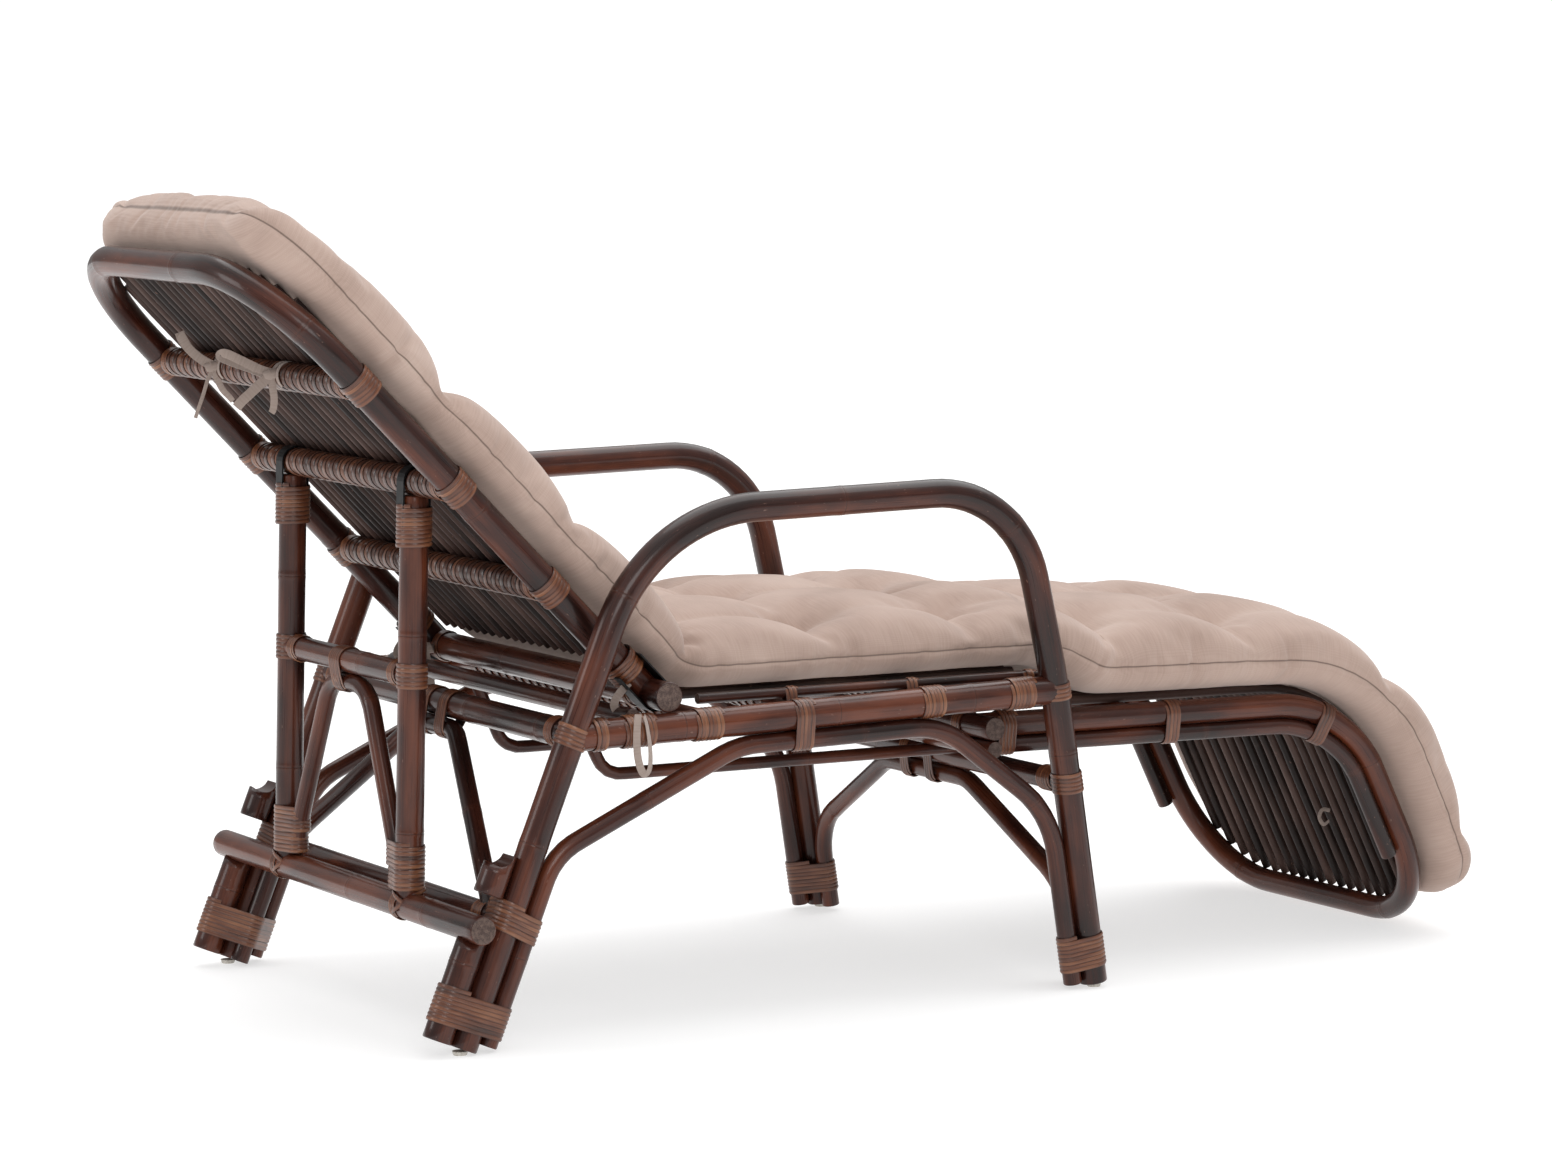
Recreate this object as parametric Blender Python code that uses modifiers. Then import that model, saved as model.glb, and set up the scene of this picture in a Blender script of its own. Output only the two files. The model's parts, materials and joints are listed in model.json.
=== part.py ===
"""Rattan sun lounger with a reclining back, a notched prop frame and a slide-out footrest.

Units are metres and Z points up. X runs across the lounger (+X is the sitter's left), Y along it
(+Y is the head end), and the floor is Z = 0. Side profiles are written as (y, z) pairs on a
drawing whose own zero lies LAYOUT_SHIFT_Y before the middle of the finished lounger.
"""

import math

import bmesh
import bpy
from mathutils import Matrix, Vector
from mathutils.geometry import convex_hull_2d

# Clearances and fineness
GAP = 0.0003                # air between pieces that touch
FACET_SLACK = 0.0009        # how far the flats of a faceted pole lie inside its radius
GLIDE_HEIGHT = 0.005
LAYOUT_SHIFT_Y = 0.03688      # moves the drawing so that the lounger is centred on Y = 0
ARC_STEP = math.radians(15)  # longest turn between two points of a bend
SLAT_STEP = math.radians(20)
CUTTER_SIDES = 24

# Pole radii
ARM_R = 0.0178
RAIL_R = 0.018
PIVOT_R = 0.018
BRACE_R = 0.0118
CROSS_RAIL_R = 0.017
FRONT_RAIL_R = 0.014
STRETCHER_R = 0.013
REAR_POLE_R = 0.0115
RUNNER_R = 0.008
EDGE_RAIL_R = 0.0065
BACK_POLE_R = 0.0185
BAR_R = 0.0165              # crosswise bar with the cane wound round it
SLAT_R = 0.006
BLOCK_R = 0.018
PROP_R = 0.017
PROP_BAR_R = 0.015
PROP_ARCH_R = 0.011
FOOT_POLE_R = 0.0155
FOOT_LOWER_R = 0.0108
FOOT_BAR_R = 0.015
FOOT_MID_R = 0.012

# Side frames: one bent pole is rear leg, armrest and front leg
ARM_X = 0.342
REAR_FOOT_Y = 0.6162
REAR_LEG_LEAN = 0.4053      # forward travel for each metre of height
ARM_REAR_CORNER = (REAR_FOOT_Y - REAR_LEG_LEAN * 0.6208, 0.6208)
ARM_FRONT_CORNER = (-0.147, 0.6318)
FRONT_KNEE = (-0.200, 0.400)
FRONT_FOOT_Y = -0.264
ARM_REAR_BEND = 0.218
ARM_FRONT_BEND = 0.145
FRONT_KNEE_BEND = 0.600

# Side rails carry the seat between the legs
RAIL_REAR_Z = 0.3635
RAIL_FRONT_Z = 0.378
BRACE_REAR_BEND = 0.080
BRACE_TOP_BEND = 0.12
BRACE_FRONT_BEND = 0.13
BRACE_SPRING_REAR = 0.2254   # height where the side brace leaves the rear leg
BRACE_TOP_REAR_Y = 0.245
BRACE_TOP_FRONT_Y = -0.038
BRACE_SPRING_FRONT = 0.224

# Cross members of the base
REAR_CROSS_Z = 0.366
REAR_ARCH_HALF_TOP = 0.050
REAR_ARCH_LEG_Z = 0.148
REAR_ARCH_TOP_BEND = 0.050
REAR_ARCH_LEG_BEND = 0.080
REAR_STRETCHER_Z = 0.154
FRONT_ARCH_HALF_TOP = 0.100
FRONT_ARCH_LEG_Z = 0.120
FRONT_ARCH_TOP_BEND = 0.060
FRONT_ARCH_LEG_BEND = 0.090
REAR_POLE_Y = 0.382
REAR_POLE_Z = 0.379
RUNNER_X = 0.138
RUNNER_Z = 0.283
RUNNER_BEND_Y = 0.320
RUNNER_BEND = 0.035
NOTCH_PITCH = 0.094          # along the leg, from one notch to the next
UPPER_BLOCK_LENGTH = 0.052
NOTCH_FROM_LEG = 0.044       # bar centre to leg axis when it sits in a notch
FOOT_BAR_Z = 0.150

# Seat deck
SEAT_BAR_YS = (0.297, 0.157, -0.013, -0.183)
SEAT_BAR_Z = 0.376
SEAT_BAR_R = 0.012
SEAT_DECK_FRONT_Y = -0.196
SLAT_SINK = 0.0016           # how deep a nailed slat beds into its bar
SLAT_PITCH = 0.022
SLATS_PER_SIDE = 12
EDGE_RAIL_X = 0.312

# Back
PIVOT_Y = 0.340
PIVOT_REACH = 0.003          # how far the pivot bar's ends stand past the side rails' axes
PIVOT_HALF = ARM_X + PIVOT_REACH
BACK_ANGLE = math.radians(45.5)
BACK_X = 0.288
BACK_LENGTH = 0.714
BACK_BEND = 0.150
BAR_TOP_BELOW_BEND = 0.0344  # the top bar lies below the frame's corner bends
BAR_DISTANCES = {"top": BACK_LENGTH - BACK_BEND - BAR_TOP_BELOW_BEND, "mid": 0.3578, "low": 0.1846}
HINGE_STRAP_X = 0.300
STRAP_WIDTH = 0.024
STRAP_THICK = 0.002
STRAP_TAIL = 0.050

# Prop frame that hangs from the back's middle bar
PROP_X = 0.1765
PROP_BAR_REACH = 0.037       # how far its foot bar stands past the notch blocks' axes
PROP_BAR_HALF = ARM_X + PROP_BAR_REACH
PROP_MID_Z = 0.426
PROP_ARCH_HALF_TOP = 0.053
PROP_ARCH_HALF_KNEE = 0.141   # where its legs turn to run down beside the uprights
PROP_ARCH_KNEE_Z = 0.212
PROP_ARCH_KNEE_BEND = 0.120
PROP_ARCH_HALF_FOOT = 0.149
PROP_ARCH_FOOT_Z = 0.172
PROP_ARCH_BEND = 0.050
HOOK_WIDTH = 0.019
HOOK_NECK = 0.009            # its width where it passes between two slats
HOOK_NECK_STEP = 8           # first point of the neck, counted from the tail
HOOK_TAIL = 0.060

# Footrest
FOOT_X = 0.262
FOOT_REAR_Y = -0.140
FOOT_KNEE = (-0.654, 0.3235)
FOOT_SHIN = (-0.735, 0.262)
FOOT_END = (-0.8565, 0.019)  # the end bar stays just off the floor
FOOT_KNEE_BEND = 0.185
FOOT_SHIN_BEND = 0.160
FOOT_CORNER_BEND = 0.140
FOOT_MID_BAR_Y = -0.365
FOOT_LOWER_END = 0.55        # how far down the shin the lower pole reaches
FOOT_BAR_HALF = 0.305
FOOT_SLATS_PER_SIDE = 11

# Cushion: one long pad in three lengths, folded at the hip and behind the knee
PAD_INSET = 0.003            # how far the pad's sides lie inside the footrest's bar ends
PAD_HALF = FOOT_BAR_HALF - PAD_INSET
PAD_SEAT_THICK = 0.076
PAD_BACK_THICK = 0.078
PAD_FOOT_THICK = ((0.0, 0.075), (0.12, 0.106), (0.30, 0.094), (0.55, 0.084), (1.0, 0.076))
PAD_LOW_EDGE = 0.14          # where the rounded side starts and ends, as shares of the thickness
PAD_HIGH_EDGE = 0.62
PAD_HIP_BACK = math.radians(121.0)
PAD_HIP_SEAT = math.radians(145.5)
PAD_FOLD_GAP = math.radians(0.8)
PAD_FOLD_DEPTH = 0.068
PAD_SEAT_FRONT_Y = -0.226
PAD_BACK_LENGTH = 0.744
PAD_FOOT_REACH = -0.008      # how far the pad ends past the footrest's end bar
PAD_CORNER = 0.125
PAD_END_ROUND = 0.040
PAD_TUFT_DEPTH = 0.018
PAD_TUFT_SPACING = 0.150
PAD_DRAWN_IN = 0.007

# Cane bindings round the feet
BINDING_LOW = 0.026
BINDING_HIGH = 0.072
BINDING_AIR = 0.0010
BINDING_THICK = 0.0020
BINDING_POINTS = 20

STAIN = (0.105, 0.030, 0.016, 1.0)
BINDING = (0.200, 0.075, 0.032, 1.0)
CLOTH = (0.480, 0.350, 0.290, 1.0)
BLACK_METAL = (0.012, 0.013, 0.015, 1.0)
GLIDE_PLASTIC = (0.55, 0.53, 0.50, 1.0)


def clear_scene():
    for obj in list(bpy.data.objects):
        bpy.data.objects.remove(obj, do_unlink=True)


def new_material(name, colour, roughness, metallic=0.0):
    material = bpy.data.materials.new(name)
    material.use_nodes = True
    shader = material.node_tree.nodes["Principled BSDF"]
    shader.inputs["Base Color"].default_value = colour
    shader.inputs["Roughness"].default_value = roughness
    shader.inputs["Metallic"].default_value = metallic
    return material


def at_side(x, points):
    """Lifts (y, z) drawing points into space at one x."""
    return [Vector((x, y + LAYOUT_SHIFT_Y, z)) for y, z in points]


def bent(corners, bends, longest_turn=ARC_STEP):
    """Rounds the inner corners of a polyline with arcs of the given radii."""
    path = [corners[0].copy()]
    for before, corner, after, radius in zip(corners, corners[1:], corners[2:], bends):
        back = (before - corner).normalized()
        ahead = (after - corner).normalized()
        turn = math.pi - back.angle(ahead)
        tangent = radius * math.tan(turn / 2)
        centre = corner + (back + ahead).normalized() * (radius / math.cos(turn / 2))
        start = corner + back * tangent - centre
        axis = start.cross(corner + ahead * tangent - centre).normalized()
        steps = max(2, math.ceil(turn / longest_turn))
        for i in range(steps + 1):
            path.append(centre + Matrix.Rotation(turn * i / steps, 3, axis) @ start)
    path.append(corners[-1].copy())
    return path


def curve_object(name, paths, radius, resolution, closed=False):
    """A round pole or strand along each path, with filled ends."""
    data = bpy.data.curves.new(name, "CURVE")
    data.dimensions = "3D"
    data.bevel_depth = radius
    data.bevel_resolution = resolution
    data.use_fill_caps = not closed
    for path in paths:
        spline = data.splines.new("POLY")
        spline.points.add(len(path) - 1)
        for point, place in zip(spline.points, path):
            point.co = (*place, 1.0)
        spline.use_cyclic_u = closed
    obj = bpy.data.objects.new(name, data)
    bpy.context.scene.collection.objects.link(obj)
    return obj


def as_mesh(obj):
    """Replaces a curve object with its mesh, caps welded."""
    bpy.context.view_layer.update()
    evaluated = obj.evaluated_get(bpy.context.evaluated_depsgraph_get())
    mesh = bpy.data.meshes.new_from_object(evaluated)
    work = bmesh.new()
    work.from_mesh(mesh)
    bmesh.ops.remove_doubles(work, verts=work.verts, dist=0.00001)
    bmesh.ops.recalc_face_normals(work, faces=work.faces)
    work.to_mesh(mesh)
    work.free()
    name = obj.name
    matrix = obj.matrix_world.copy()
    bpy.data.objects.remove(obj, do_unlink=True)
    fresh = bpy.data.objects.new(name, mesh)
    fresh.matrix_world = matrix
    bpy.context.scene.collection.objects.link(fresh)
    return fresh


def pole(name, path, radius, resolution=3):
    """One solid pole along a path."""
    return as_mesh(curve_object(name, [path], radius, resolution))


def rod(name, start, end, radius, resolution=3):
    return pole(name, [Vector(start), Vector(end)], radius, resolution)


def cutter_rod(start, end, radius):
    """A cylinder whose flats lie outside the given radius, so that what it cuts keeps clear."""
    start = Vector(start)
    end = Vector(end)
    work = bmesh.new()
    reach = (radius + GAP) / math.cos(math.pi / CUTTER_SIDES)
    bmesh.ops.create_cone(work, cap_ends=True, segments=CUTTER_SIDES, radius1=reach,
                          radius2=reach, depth=(end - start).length)
    return cutter(work, Vector((0, 0, 1)).rotation_difference(end - start).to_matrix().to_4x4(),
                  (start + end) / 2)


def cutter_box(low, high):
    work = bmesh.new()
    bmesh.ops.create_cube(work, size=1.0)
    size = [b - a for a, b in zip(low, high)]
    bmesh.ops.scale(work, vec=size, verts=work.verts)
    middle = Vector([(a + b) / 2 for a, b in zip(low, high)])
    return cutter(work, Matrix.Identity(4), middle)


def cutter(work, turn, place):
    mesh = bpy.data.meshes.new("cutter")
    work.to_mesh(mesh)
    work.free()
    obj = bpy.data.objects.new("cutter", mesh)
    obj.matrix_world = Matrix.Translation(place) @ turn
    obj.hide_render = True
    obj.display_type = "WIRE"
    cutters().objects.link(obj)
    return obj


def cutters():
    found = bpy.data.collections.get("cutters")
    if found is None:
        found = bpy.data.collections.new("cutters")
        bpy.context.scene.collection.children.link(found)
    return found


def combine(obj, tool, operation):
    """Applies one exact Boolean and removes the tool."""
    modifier = obj.modifiers.new("join", "BOOLEAN")
    modifier.operation = operation
    modifier.object = tool
    modifier.solver = "EXACT"
    bpy.context.view_layer.update()
    evaluated = obj.evaluated_get(bpy.context.evaluated_depsgraph_get())
    mesh = bpy.data.meshes.new_from_object(evaluated)
    obj.modifiers.clear()
    obj.data = mesh
    bpy.data.objects.remove(tool, do_unlink=True)
    return obj


def cut(obj, *tools):
    for tool in tools:
        combine(obj, tool, "DIFFERENCE")
    return obj


def unite(obj, *tools):
    for tool in tools:
        combine(obj, tool, "UNION")
    return obj


def floor_cutter():
    """Everything below the glides' top."""
    return cutter_box((-1, -2, -1), (1, 2, GLIDE_HEIGHT))


def polar(origin, angle, distance, offset=0.0):
    """A drawing point at a distance along a direction, then offset to that direction's left."""
    y = origin[0] + distance * math.cos(angle) - offset * math.sin(angle)
    z = origin[1] + distance * math.sin(angle) + offset * math.cos(angle)
    return (y, z)


def rail_z(y):
    """Height of the side rail's centre, which rises a little to the front."""
    rear_y, front_y = rear_leg_y(RAIL_REAR_Z), front_leg_y(RAIL_FRONT_Z)
    share = (rear_y - y) / (rear_y - front_y)
    return RAIL_REAR_Z + share * (RAIL_FRONT_Z - RAIL_REAR_Z)


def rear_leg_y(z):
    return REAR_FOOT_Y - REAR_LEG_LEAN * z


def front_leg_y(z):
    knee_y, knee_z = FRONT_KNEE
    return FRONT_FOOT_Y + (knee_y - FRONT_FOOT_Y) * z / knee_z


def pivot():
    """Centre of the pivot bar on the drawing: it lies on the side rails."""
    return (PIVOT_Y, rail_z(PIVOT_Y) + RAIL_R + GAP + PIVOT_R)


def back_point(distance, offset=0.0):
    return polar(pivot(), BACK_ANGLE, distance, offset)


def leg_direction():
    """Unit vector up the rear leg, as (y, z)."""
    length = math.hypot(REAR_LEG_LEAN, 1.0)
    return (-REAR_LEG_LEAN / length, 1.0 / length)


def notch_bar():
    """Centre of the prop's foot bar in the lower notch."""
    up_y, up_z = leg_direction()
    y = rear_leg_y(FOOT_BAR_Z) + NOTCH_FROM_LEG / up_z
    return (y, FOOT_BAR_Z)


def arm_frames():
    """Rear leg, armrest and front leg bent from one pole on each side."""
    below = -0.03
    corners = [(rear_leg_y(below), below), ARM_REAR_CORNER, ARM_FRONT_CORNER, FRONT_KNEE,
               (front_leg_y(below), below)]
    for side, x in (("left", ARM_X), ("right", -ARM_X)):
        path = bent(at_side(x, corners), (ARM_REAR_BEND, ARM_FRONT_BEND, FRONT_KNEE_BEND))
        node("arm_frame_" + side, cut(pole("arm", path, ARM_R), floor_cutter()), "cane")


def leg_cutter(x, leg_y, radius=ARM_R):
    low, high = 0.0, 0.55
    return cutter_rod(at_side(x, [(leg_y(low), low)])[0], at_side(x, [(leg_y(high), high)])[0], radius)


def side_rails():
    rear, front = rear_leg_y(RAIL_REAR_Z), front_leg_y(RAIL_FRONT_Z)
    for side, x in (("left", ARM_X), ("right", -ARM_X)):
        start, end = at_side(x, [(rear, RAIL_REAR_Z), (front, RAIL_FRONT_Z)])
        rail = rod("rail", start, end, RAIL_R)
        cut(rail, leg_cutter(x, rear_leg_y), leg_cutter(x, front_leg_y))
        node("side_rail_" + side, keep_largest(rail), "cane")


def keep_largest(obj):
    """Drops the slivers that a coped end leaves beyond the cut."""
    work = bmesh.new()
    work.from_mesh(obj.data)
    work.verts.ensure_lookup_table()
    seen, groups = set(), []
    for vert in work.verts:
        if vert in seen:
            continue
        group, queue = [], [vert]
        seen.add(vert)
        while queue:
            here = queue.pop()
            group.append(here)
            for edge in here.link_edges:
                other = edge.other_vert(here)
                if other not in seen:
                    seen.add(other)
                    queue.append(other)
        groups.append(group)
    groups.sort(key=len)
    for group in groups[:-1]:
        bmesh.ops.delete(work, geom=group, context="VERTS")
    work.to_mesh(obj.data)
    work.free()
    return obj


def side_braces():
    """Bent braces under the side rails, bound to the fronts of the legs down to the floor."""
    up_y, up_z = leg_direction()
    rear_step = (ARM_R + GAP + BRACE_R) / up_z
    front_step = (ARM_R + GAP + BRACE_R) * math.hypot(1.0, (FRONT_KNEE[0] - FRONT_FOOT_Y) / FRONT_KNEE[1])
    below = -0.03

    def rear(z):
        return (rear_leg_y(z) - rear_step, z)

    def front(z):
        return (front_leg_y(z) + front_step, z)

    top_z = RAIL_REAR_Z - RAIL_R - GAP - BRACE_R
    top_rear = (BRACE_TOP_REAR_Y, rail_z(BRACE_TOP_REAR_Y) + top_z - RAIL_REAR_Z)
    top_front = (BRACE_TOP_FRONT_Y, rail_z(BRACE_TOP_FRONT_Y) + top_z - RAIL_REAR_Z)
    corners = [rear(below), rear(BRACE_SPRING_REAR), top_rear, top_front,
               front(BRACE_SPRING_FRONT), front(below)]
    bends = (BRACE_REAR_BEND, BRACE_TOP_BEND, BRACE_TOP_BEND, BRACE_FRONT_BEND)
    for side, x in (("left", ARM_X), ("right", -ARM_X)):
        brace = pole("brace", bent(at_side(x, corners), bends), BRACE_R, 2)
        node("side_brace_" + side, cut(brace, floor_cutter()), "cane")


def cross_pole(name, y, z, half, radius, resolution=3):
    left, right = at_side(half, [(y, z)])[0], at_side(-half, [(y, z)])[0]
    return rod(name, left, right, radius, resolution)


def rear_cross_members():
    rear_y = rear_leg_y(REAR_CROSS_Z)
    rail = cross_pole("rail", rear_y, REAR_CROSS_Z, ARM_X, CROSS_RAIL_R)
    cut(rail, leg_cutter(ARM_X, rear_leg_y), leg_cutter(-ARM_X, rear_leg_y))
    cut(rail, rail_cutter(ARM_X), rail_cutter(-ARM_X))
    node("rear_cross_rail", keep_largest(rail), "cane")

    top_z = REAR_CROSS_Z - (CROSS_RAIL_R + GAP + BRACE_R) * leg_direction()[1]
    path = arch_path(rear_leg_y, top_z, REAR_ARCH_HALF_TOP, REAR_ARCH_LEG_Z, REAR_ARCH_TOP_BEND,
                     REAR_ARCH_LEG_BEND)
    brace = pole("arch", path, BRACE_R, 2)
    node("rear_arch_brace", cut(brace, floor_cutter()), "cane")
    stretcher = cross_pole("stretcher", rear_leg_y(REAR_STRETCHER_Z), REAR_STRETCHER_Z, ARM_X, STRETCHER_R, 2)
    cut(stretcher, pole("clearance", path, BRACE_R + GAP, 2))
    node("rear_stretcher", keep_largest(stretcher), "cane")


def arch_leg_x():
    return ARM_X - ARM_R - GAP - BRACE_R


def arch_path(leg_y, top_z, half_top, leg_z, top_bend, leg_bend):
    """A bent brace in the plane of a pair of legs, its feet bound to their inner sides."""
    x = arch_leg_x()
    below = -0.03
    shape = [(x, below), (x, leg_z), (half_top, top_z), (-half_top, top_z), (-x, leg_z), (-x, below)]
    corners = [at_side(side_x, [(leg_y(z), z)])[0] for side_x, z in shape]
    return bent(corners, (leg_bend, top_bend, top_bend, leg_bend))


def front_cross_members():
    z = front_rail_z()
    y = front_leg_y(z)
    rail = cross_pole("rail", y, z, ARM_X, FRONT_RAIL_R)
    cut(rail, leg_cutter(ARM_X, front_leg_y), leg_cutter(-ARM_X, front_leg_y))
    node("front_cross_rail", keep_largest(rail), "cane")
    top_z = z - FRONT_RAIL_R - GAP - BRACE_R
    path = arch_path(front_leg_y, top_z, FRONT_ARCH_HALF_TOP, FRONT_ARCH_LEG_Z, FRONT_ARCH_TOP_BEND,
                     FRONT_ARCH_LEG_BEND)
    node("front_arch_brace", cut(pole("arch", path, BRACE_R, 2), floor_cutter()), "cane")


def front_rail_z():
    """The runners rest on the front cross rail."""
    return RUNNER_Z - RUNNER_R - GAP - FRONT_RAIL_R + FACET_SLACK


def runners():
    """Thin bent poles under the seat that the footrest's rear bars slide on."""
    rail = cross_pole("pole", REAR_POLE_Y, REAR_POLE_Z, ARM_X, REAR_POLE_R, 2)
    for x in (ARM_X, -ARM_X):
        cut(rail, rail_cutter(x))
    node("seat_rear_cross_pole", keep_largest(rail), "cane")
    top = (REAR_POLE_Y - REAR_POLE_R - GAP - RUNNER_R + FACET_SLACK, REAR_POLE_Z)
    front = (front_leg_y(front_rail_z()) - FRONT_RAIL_R - RUNNER_R, RUNNER_Z)
    corners = [top, (RUNNER_BEND_Y, RUNNER_Z), front]
    for side, x in (("left", RUNNER_X), ("right", -RUNNER_X)):
        path = bent(at_side(x, corners), (RUNNER_BEND,))
        node("footrest_runner_" + side, pole("runner", path, RUNNER_R, 2), "cane")


def rail_cutter(x):
    rear, front = rear_leg_y(RAIL_REAR_Z), front_leg_y(RAIL_FRONT_Z)
    start, end = at_side(x, [(rear + 0.02, rail_z(rear + 0.02)), (front - 0.02, rail_z(front - 0.02))])
    return cutter_rod(start, end, RAIL_R)


def notch_blocks():
    """Short poles bound behind the rear legs, whose coped ends hold the prop's foot bar."""
    up_y, up_z = leg_direction()
    step = ARM_R + GAP + BLOCK_R - FACET_SLACK
    notch_y, notch_z = notch_bar()
    # distance up the leg from the floor to the lower notch
    reach = (notch_y - REAR_FOOT_Y) * up_y + notch_z * up_z

    def along(distance):
        return (REAR_FOOT_Y + distance * up_y + step * up_z, distance * up_z - step * up_y)

    half = ARM_X + 0.06
    block_start = reach + NOTCH_PITCH - UPPER_BLOCK_LENGTH
    for side, x in (("left", ARM_X), ("right", -ARM_X)):
        lower = rod("block", at_side(x, [along(-0.03)])[0], at_side(x, [along(reach)])[0], BLOCK_R, 2)
        bar = at_side(x - 0.06, [notch_bar()])[0], at_side(x + 0.06, [notch_bar()])[0]
        cut(lower, cutter_rod(*bar, PROP_R), floor_cutter())
        node("notch_block_lower_" + side, keep_largest(lower), "cane")
        upper = rod("block", at_side(x, [along(block_start)])[0],
                    at_side(x, [along(reach + NOTCH_PITCH)])[0], BLOCK_R, 2)
        upper_bar = (notch_y + NOTCH_PITCH * up_y, notch_z + NOTCH_PITCH * up_z)
        bar = at_side(x - 0.06, [upper_bar])[0], at_side(x + 0.06, [upper_bar])[0]
        cut(upper, cutter_rod(*bar, PROP_R))
        node("notch_block_upper_" + side, keep_largest(upper), "cane")


def slat_rows(per_side):
    """Places of the slats across the lounger."""
    return [side * SLAT_PITCH * (i + 0.5) for side in (1, -1) for i in range(per_side)]


def slat_panel(name, paths, bars, body_material="slat"):
    """Slats bedded into the bars that they are nailed and bound to, as one solid."""
    slats = as_mesh(curve_object("slats", paths, SLAT_R, 1))
    first, *rest = bars
    for bar in rest:
        join_meshes(first, bar)
    node(name, unite(slats, first), body_material)


def join_meshes(target, other):
    work = bmesh.new()
    work.from_mesh(target.data)
    work.from_mesh(other.data)
    work.to_mesh(target.data)
    work.free()
    bpy.data.objects.remove(other, do_unlink=True)


def seat_deck():
    slat_z = SEAT_BAR_Z + SEAT_BAR_R + SLAT_R - SLAT_SINK
    rear = PIVOT_Y - PIVOT_R - SLAT_R
    paths = [at_side(x, [(rear, slat_z), (SEAT_DECK_FRONT_Y, slat_z)]) for x in slat_rows(SLATS_PER_SIDE)]
    bars = []
    for y in SEAT_BAR_YS:
        bar = cross_pole("bar", y, SEAT_BAR_Z, ARM_X, SEAT_BAR_R)
        cut(bar, rail_cutter(ARM_X), rail_cutter(-ARM_X))
        bars.append(keep_largest(bar))
    slat_panel("seat_slat_panel", paths, bars)

    edge_z = SEAT_BAR_Z + SEAT_BAR_R + GAP + EDGE_RAIL_R - FACET_SLACK
    ends = (SEAT_BAR_YS[0] - SEAT_BAR_R, SEAT_DECK_FRONT_Y)
    for side, x in (("left", EDGE_RAIL_X), ("right", -EDGE_RAIL_X)):
        start, end = at_side(x, [(ends[0], edge_z), (ends[1], edge_z)])
        node("seat_edge_rail_" + side, rod("edge", start, end, EDGE_RAIL_R, 1), "cane")


def back_frame():
    """U-bent outer frame of the back, its ends coped onto the pivot bar."""
    flat = [(BACK_X, 0.0), (BACK_X, BACK_LENGTH), (-BACK_X, BACK_LENGTH), (-BACK_X, 0.0)]
    corners = [at_side(x, [back_point(distance)])[0] for x, distance in flat]
    frame = pole("frame", bent(corners, (BACK_BEND, BACK_BEND)), BACK_POLE_R)
    cut(frame, pivot_cutter())
    node("back_frame", keep_largest(frame), "cane")
    node("pivot_bar", cross_pole("pivot", *pivot(), PIVOT_HALF, PIVOT_R), "cane")


def pivot_cutter(radius=None):
    left, right = at_side(PIVOT_HALF + 0.05, [pivot()])[0], at_side(-PIVOT_HALF - 0.05, [pivot()])[0]
    return cutter_rod(left, right, radius or PIVOT_R)


def back_pole_cutter(x):
    start, end = at_side(x, [back_point(0.02), back_point(BACK_LENGTH - BACK_BEND)])
    return cutter_rod(start, end, BACK_POLE_R)


def back_bar(name):
    bar = cross_pole("bar", *back_point(BAR_DISTANCES[name]), BACK_X, BAR_R, 4)
    return keep_largest(cut(bar, back_pole_cutter(BACK_X), back_pole_cutter(-BACK_X)))


def slat_offset():
    """Slats stand off the bars by the strand that is wound between them."""
    return BAR_R + SLAT_R - SLAT_SINK


def end_inset(x, half, bend):
    """How much shorter a slat is where the frame's corner curves in."""
    into = abs(x) - (half - bend)
    return bend - math.sqrt(bend * bend - into * into) if into > 0 else 0.0


def back_slats():
    offset = slat_offset()
    start = PIVOT_R + 0.004
    paths = []
    for x in slat_rows(SLATS_PER_SIDE):
        end = BACK_LENGTH - end_inset(x, BACK_X, BACK_BEND)
        paths.append(at_side(x, [back_point(start, offset), back_point(end, offset)]))
    slats = as_mesh(curve_object("slats", paths, SLAT_R, 1))
    middle = at_side(BACK_X, [back_point(BAR_DISTANCES["mid"])])[0]
    other = at_side(-BACK_X, [back_point(BAR_DISTANCES["mid"])])[0]
    flat = [(BACK_X, 0.0), (BACK_X, BACK_LENGTH), (-BACK_X, BACK_LENGTH), (-BACK_X, 0.0)]
    corners = [at_side(x, [back_point(distance)])[0] for x, distance in flat]
    outline = pole("outline", bent(corners, (BACK_BEND, BACK_BEND)), BACK_POLE_R + GAP)
    cut(slats, cutter_rod(middle, other, BAR_R), outline, pivot_cutter())
    bars = back_bar("top")
    join_meshes(bars, back_bar("low"))
    node("back_slat_panel", unite(slats, bars), "slat")
    node("back_cross_bar_mid", back_bar("mid"), "cane")


def strap(name, path, widths, material="metal"):
    """A flat metal strap of even thickness along a path, with its width at each point."""
    mesh = bpy.data.meshes.new(name)
    work = bmesh.new()
    rows = []
    for point, width in zip(path, widths):
        half = Vector((width / 2, 0, 0))
        rows.append([work.verts.new(point - half), work.verts.new(point + half)])
    for low, high in zip(rows, rows[1:]):
        work.faces.new((low[0], low[1], high[1], high[0]))
    work.to_mesh(mesh)
    work.free()
    obj = bpy.data.objects.new(name, mesh)
    bpy.context.scene.collection.objects.link(obj)
    solid = obj.modifiers.new("thickness", "SOLIDIFY")
    solid.thickness = STRAP_THICK
    solid.offset = 0.0
    node(name, obj, material)


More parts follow.
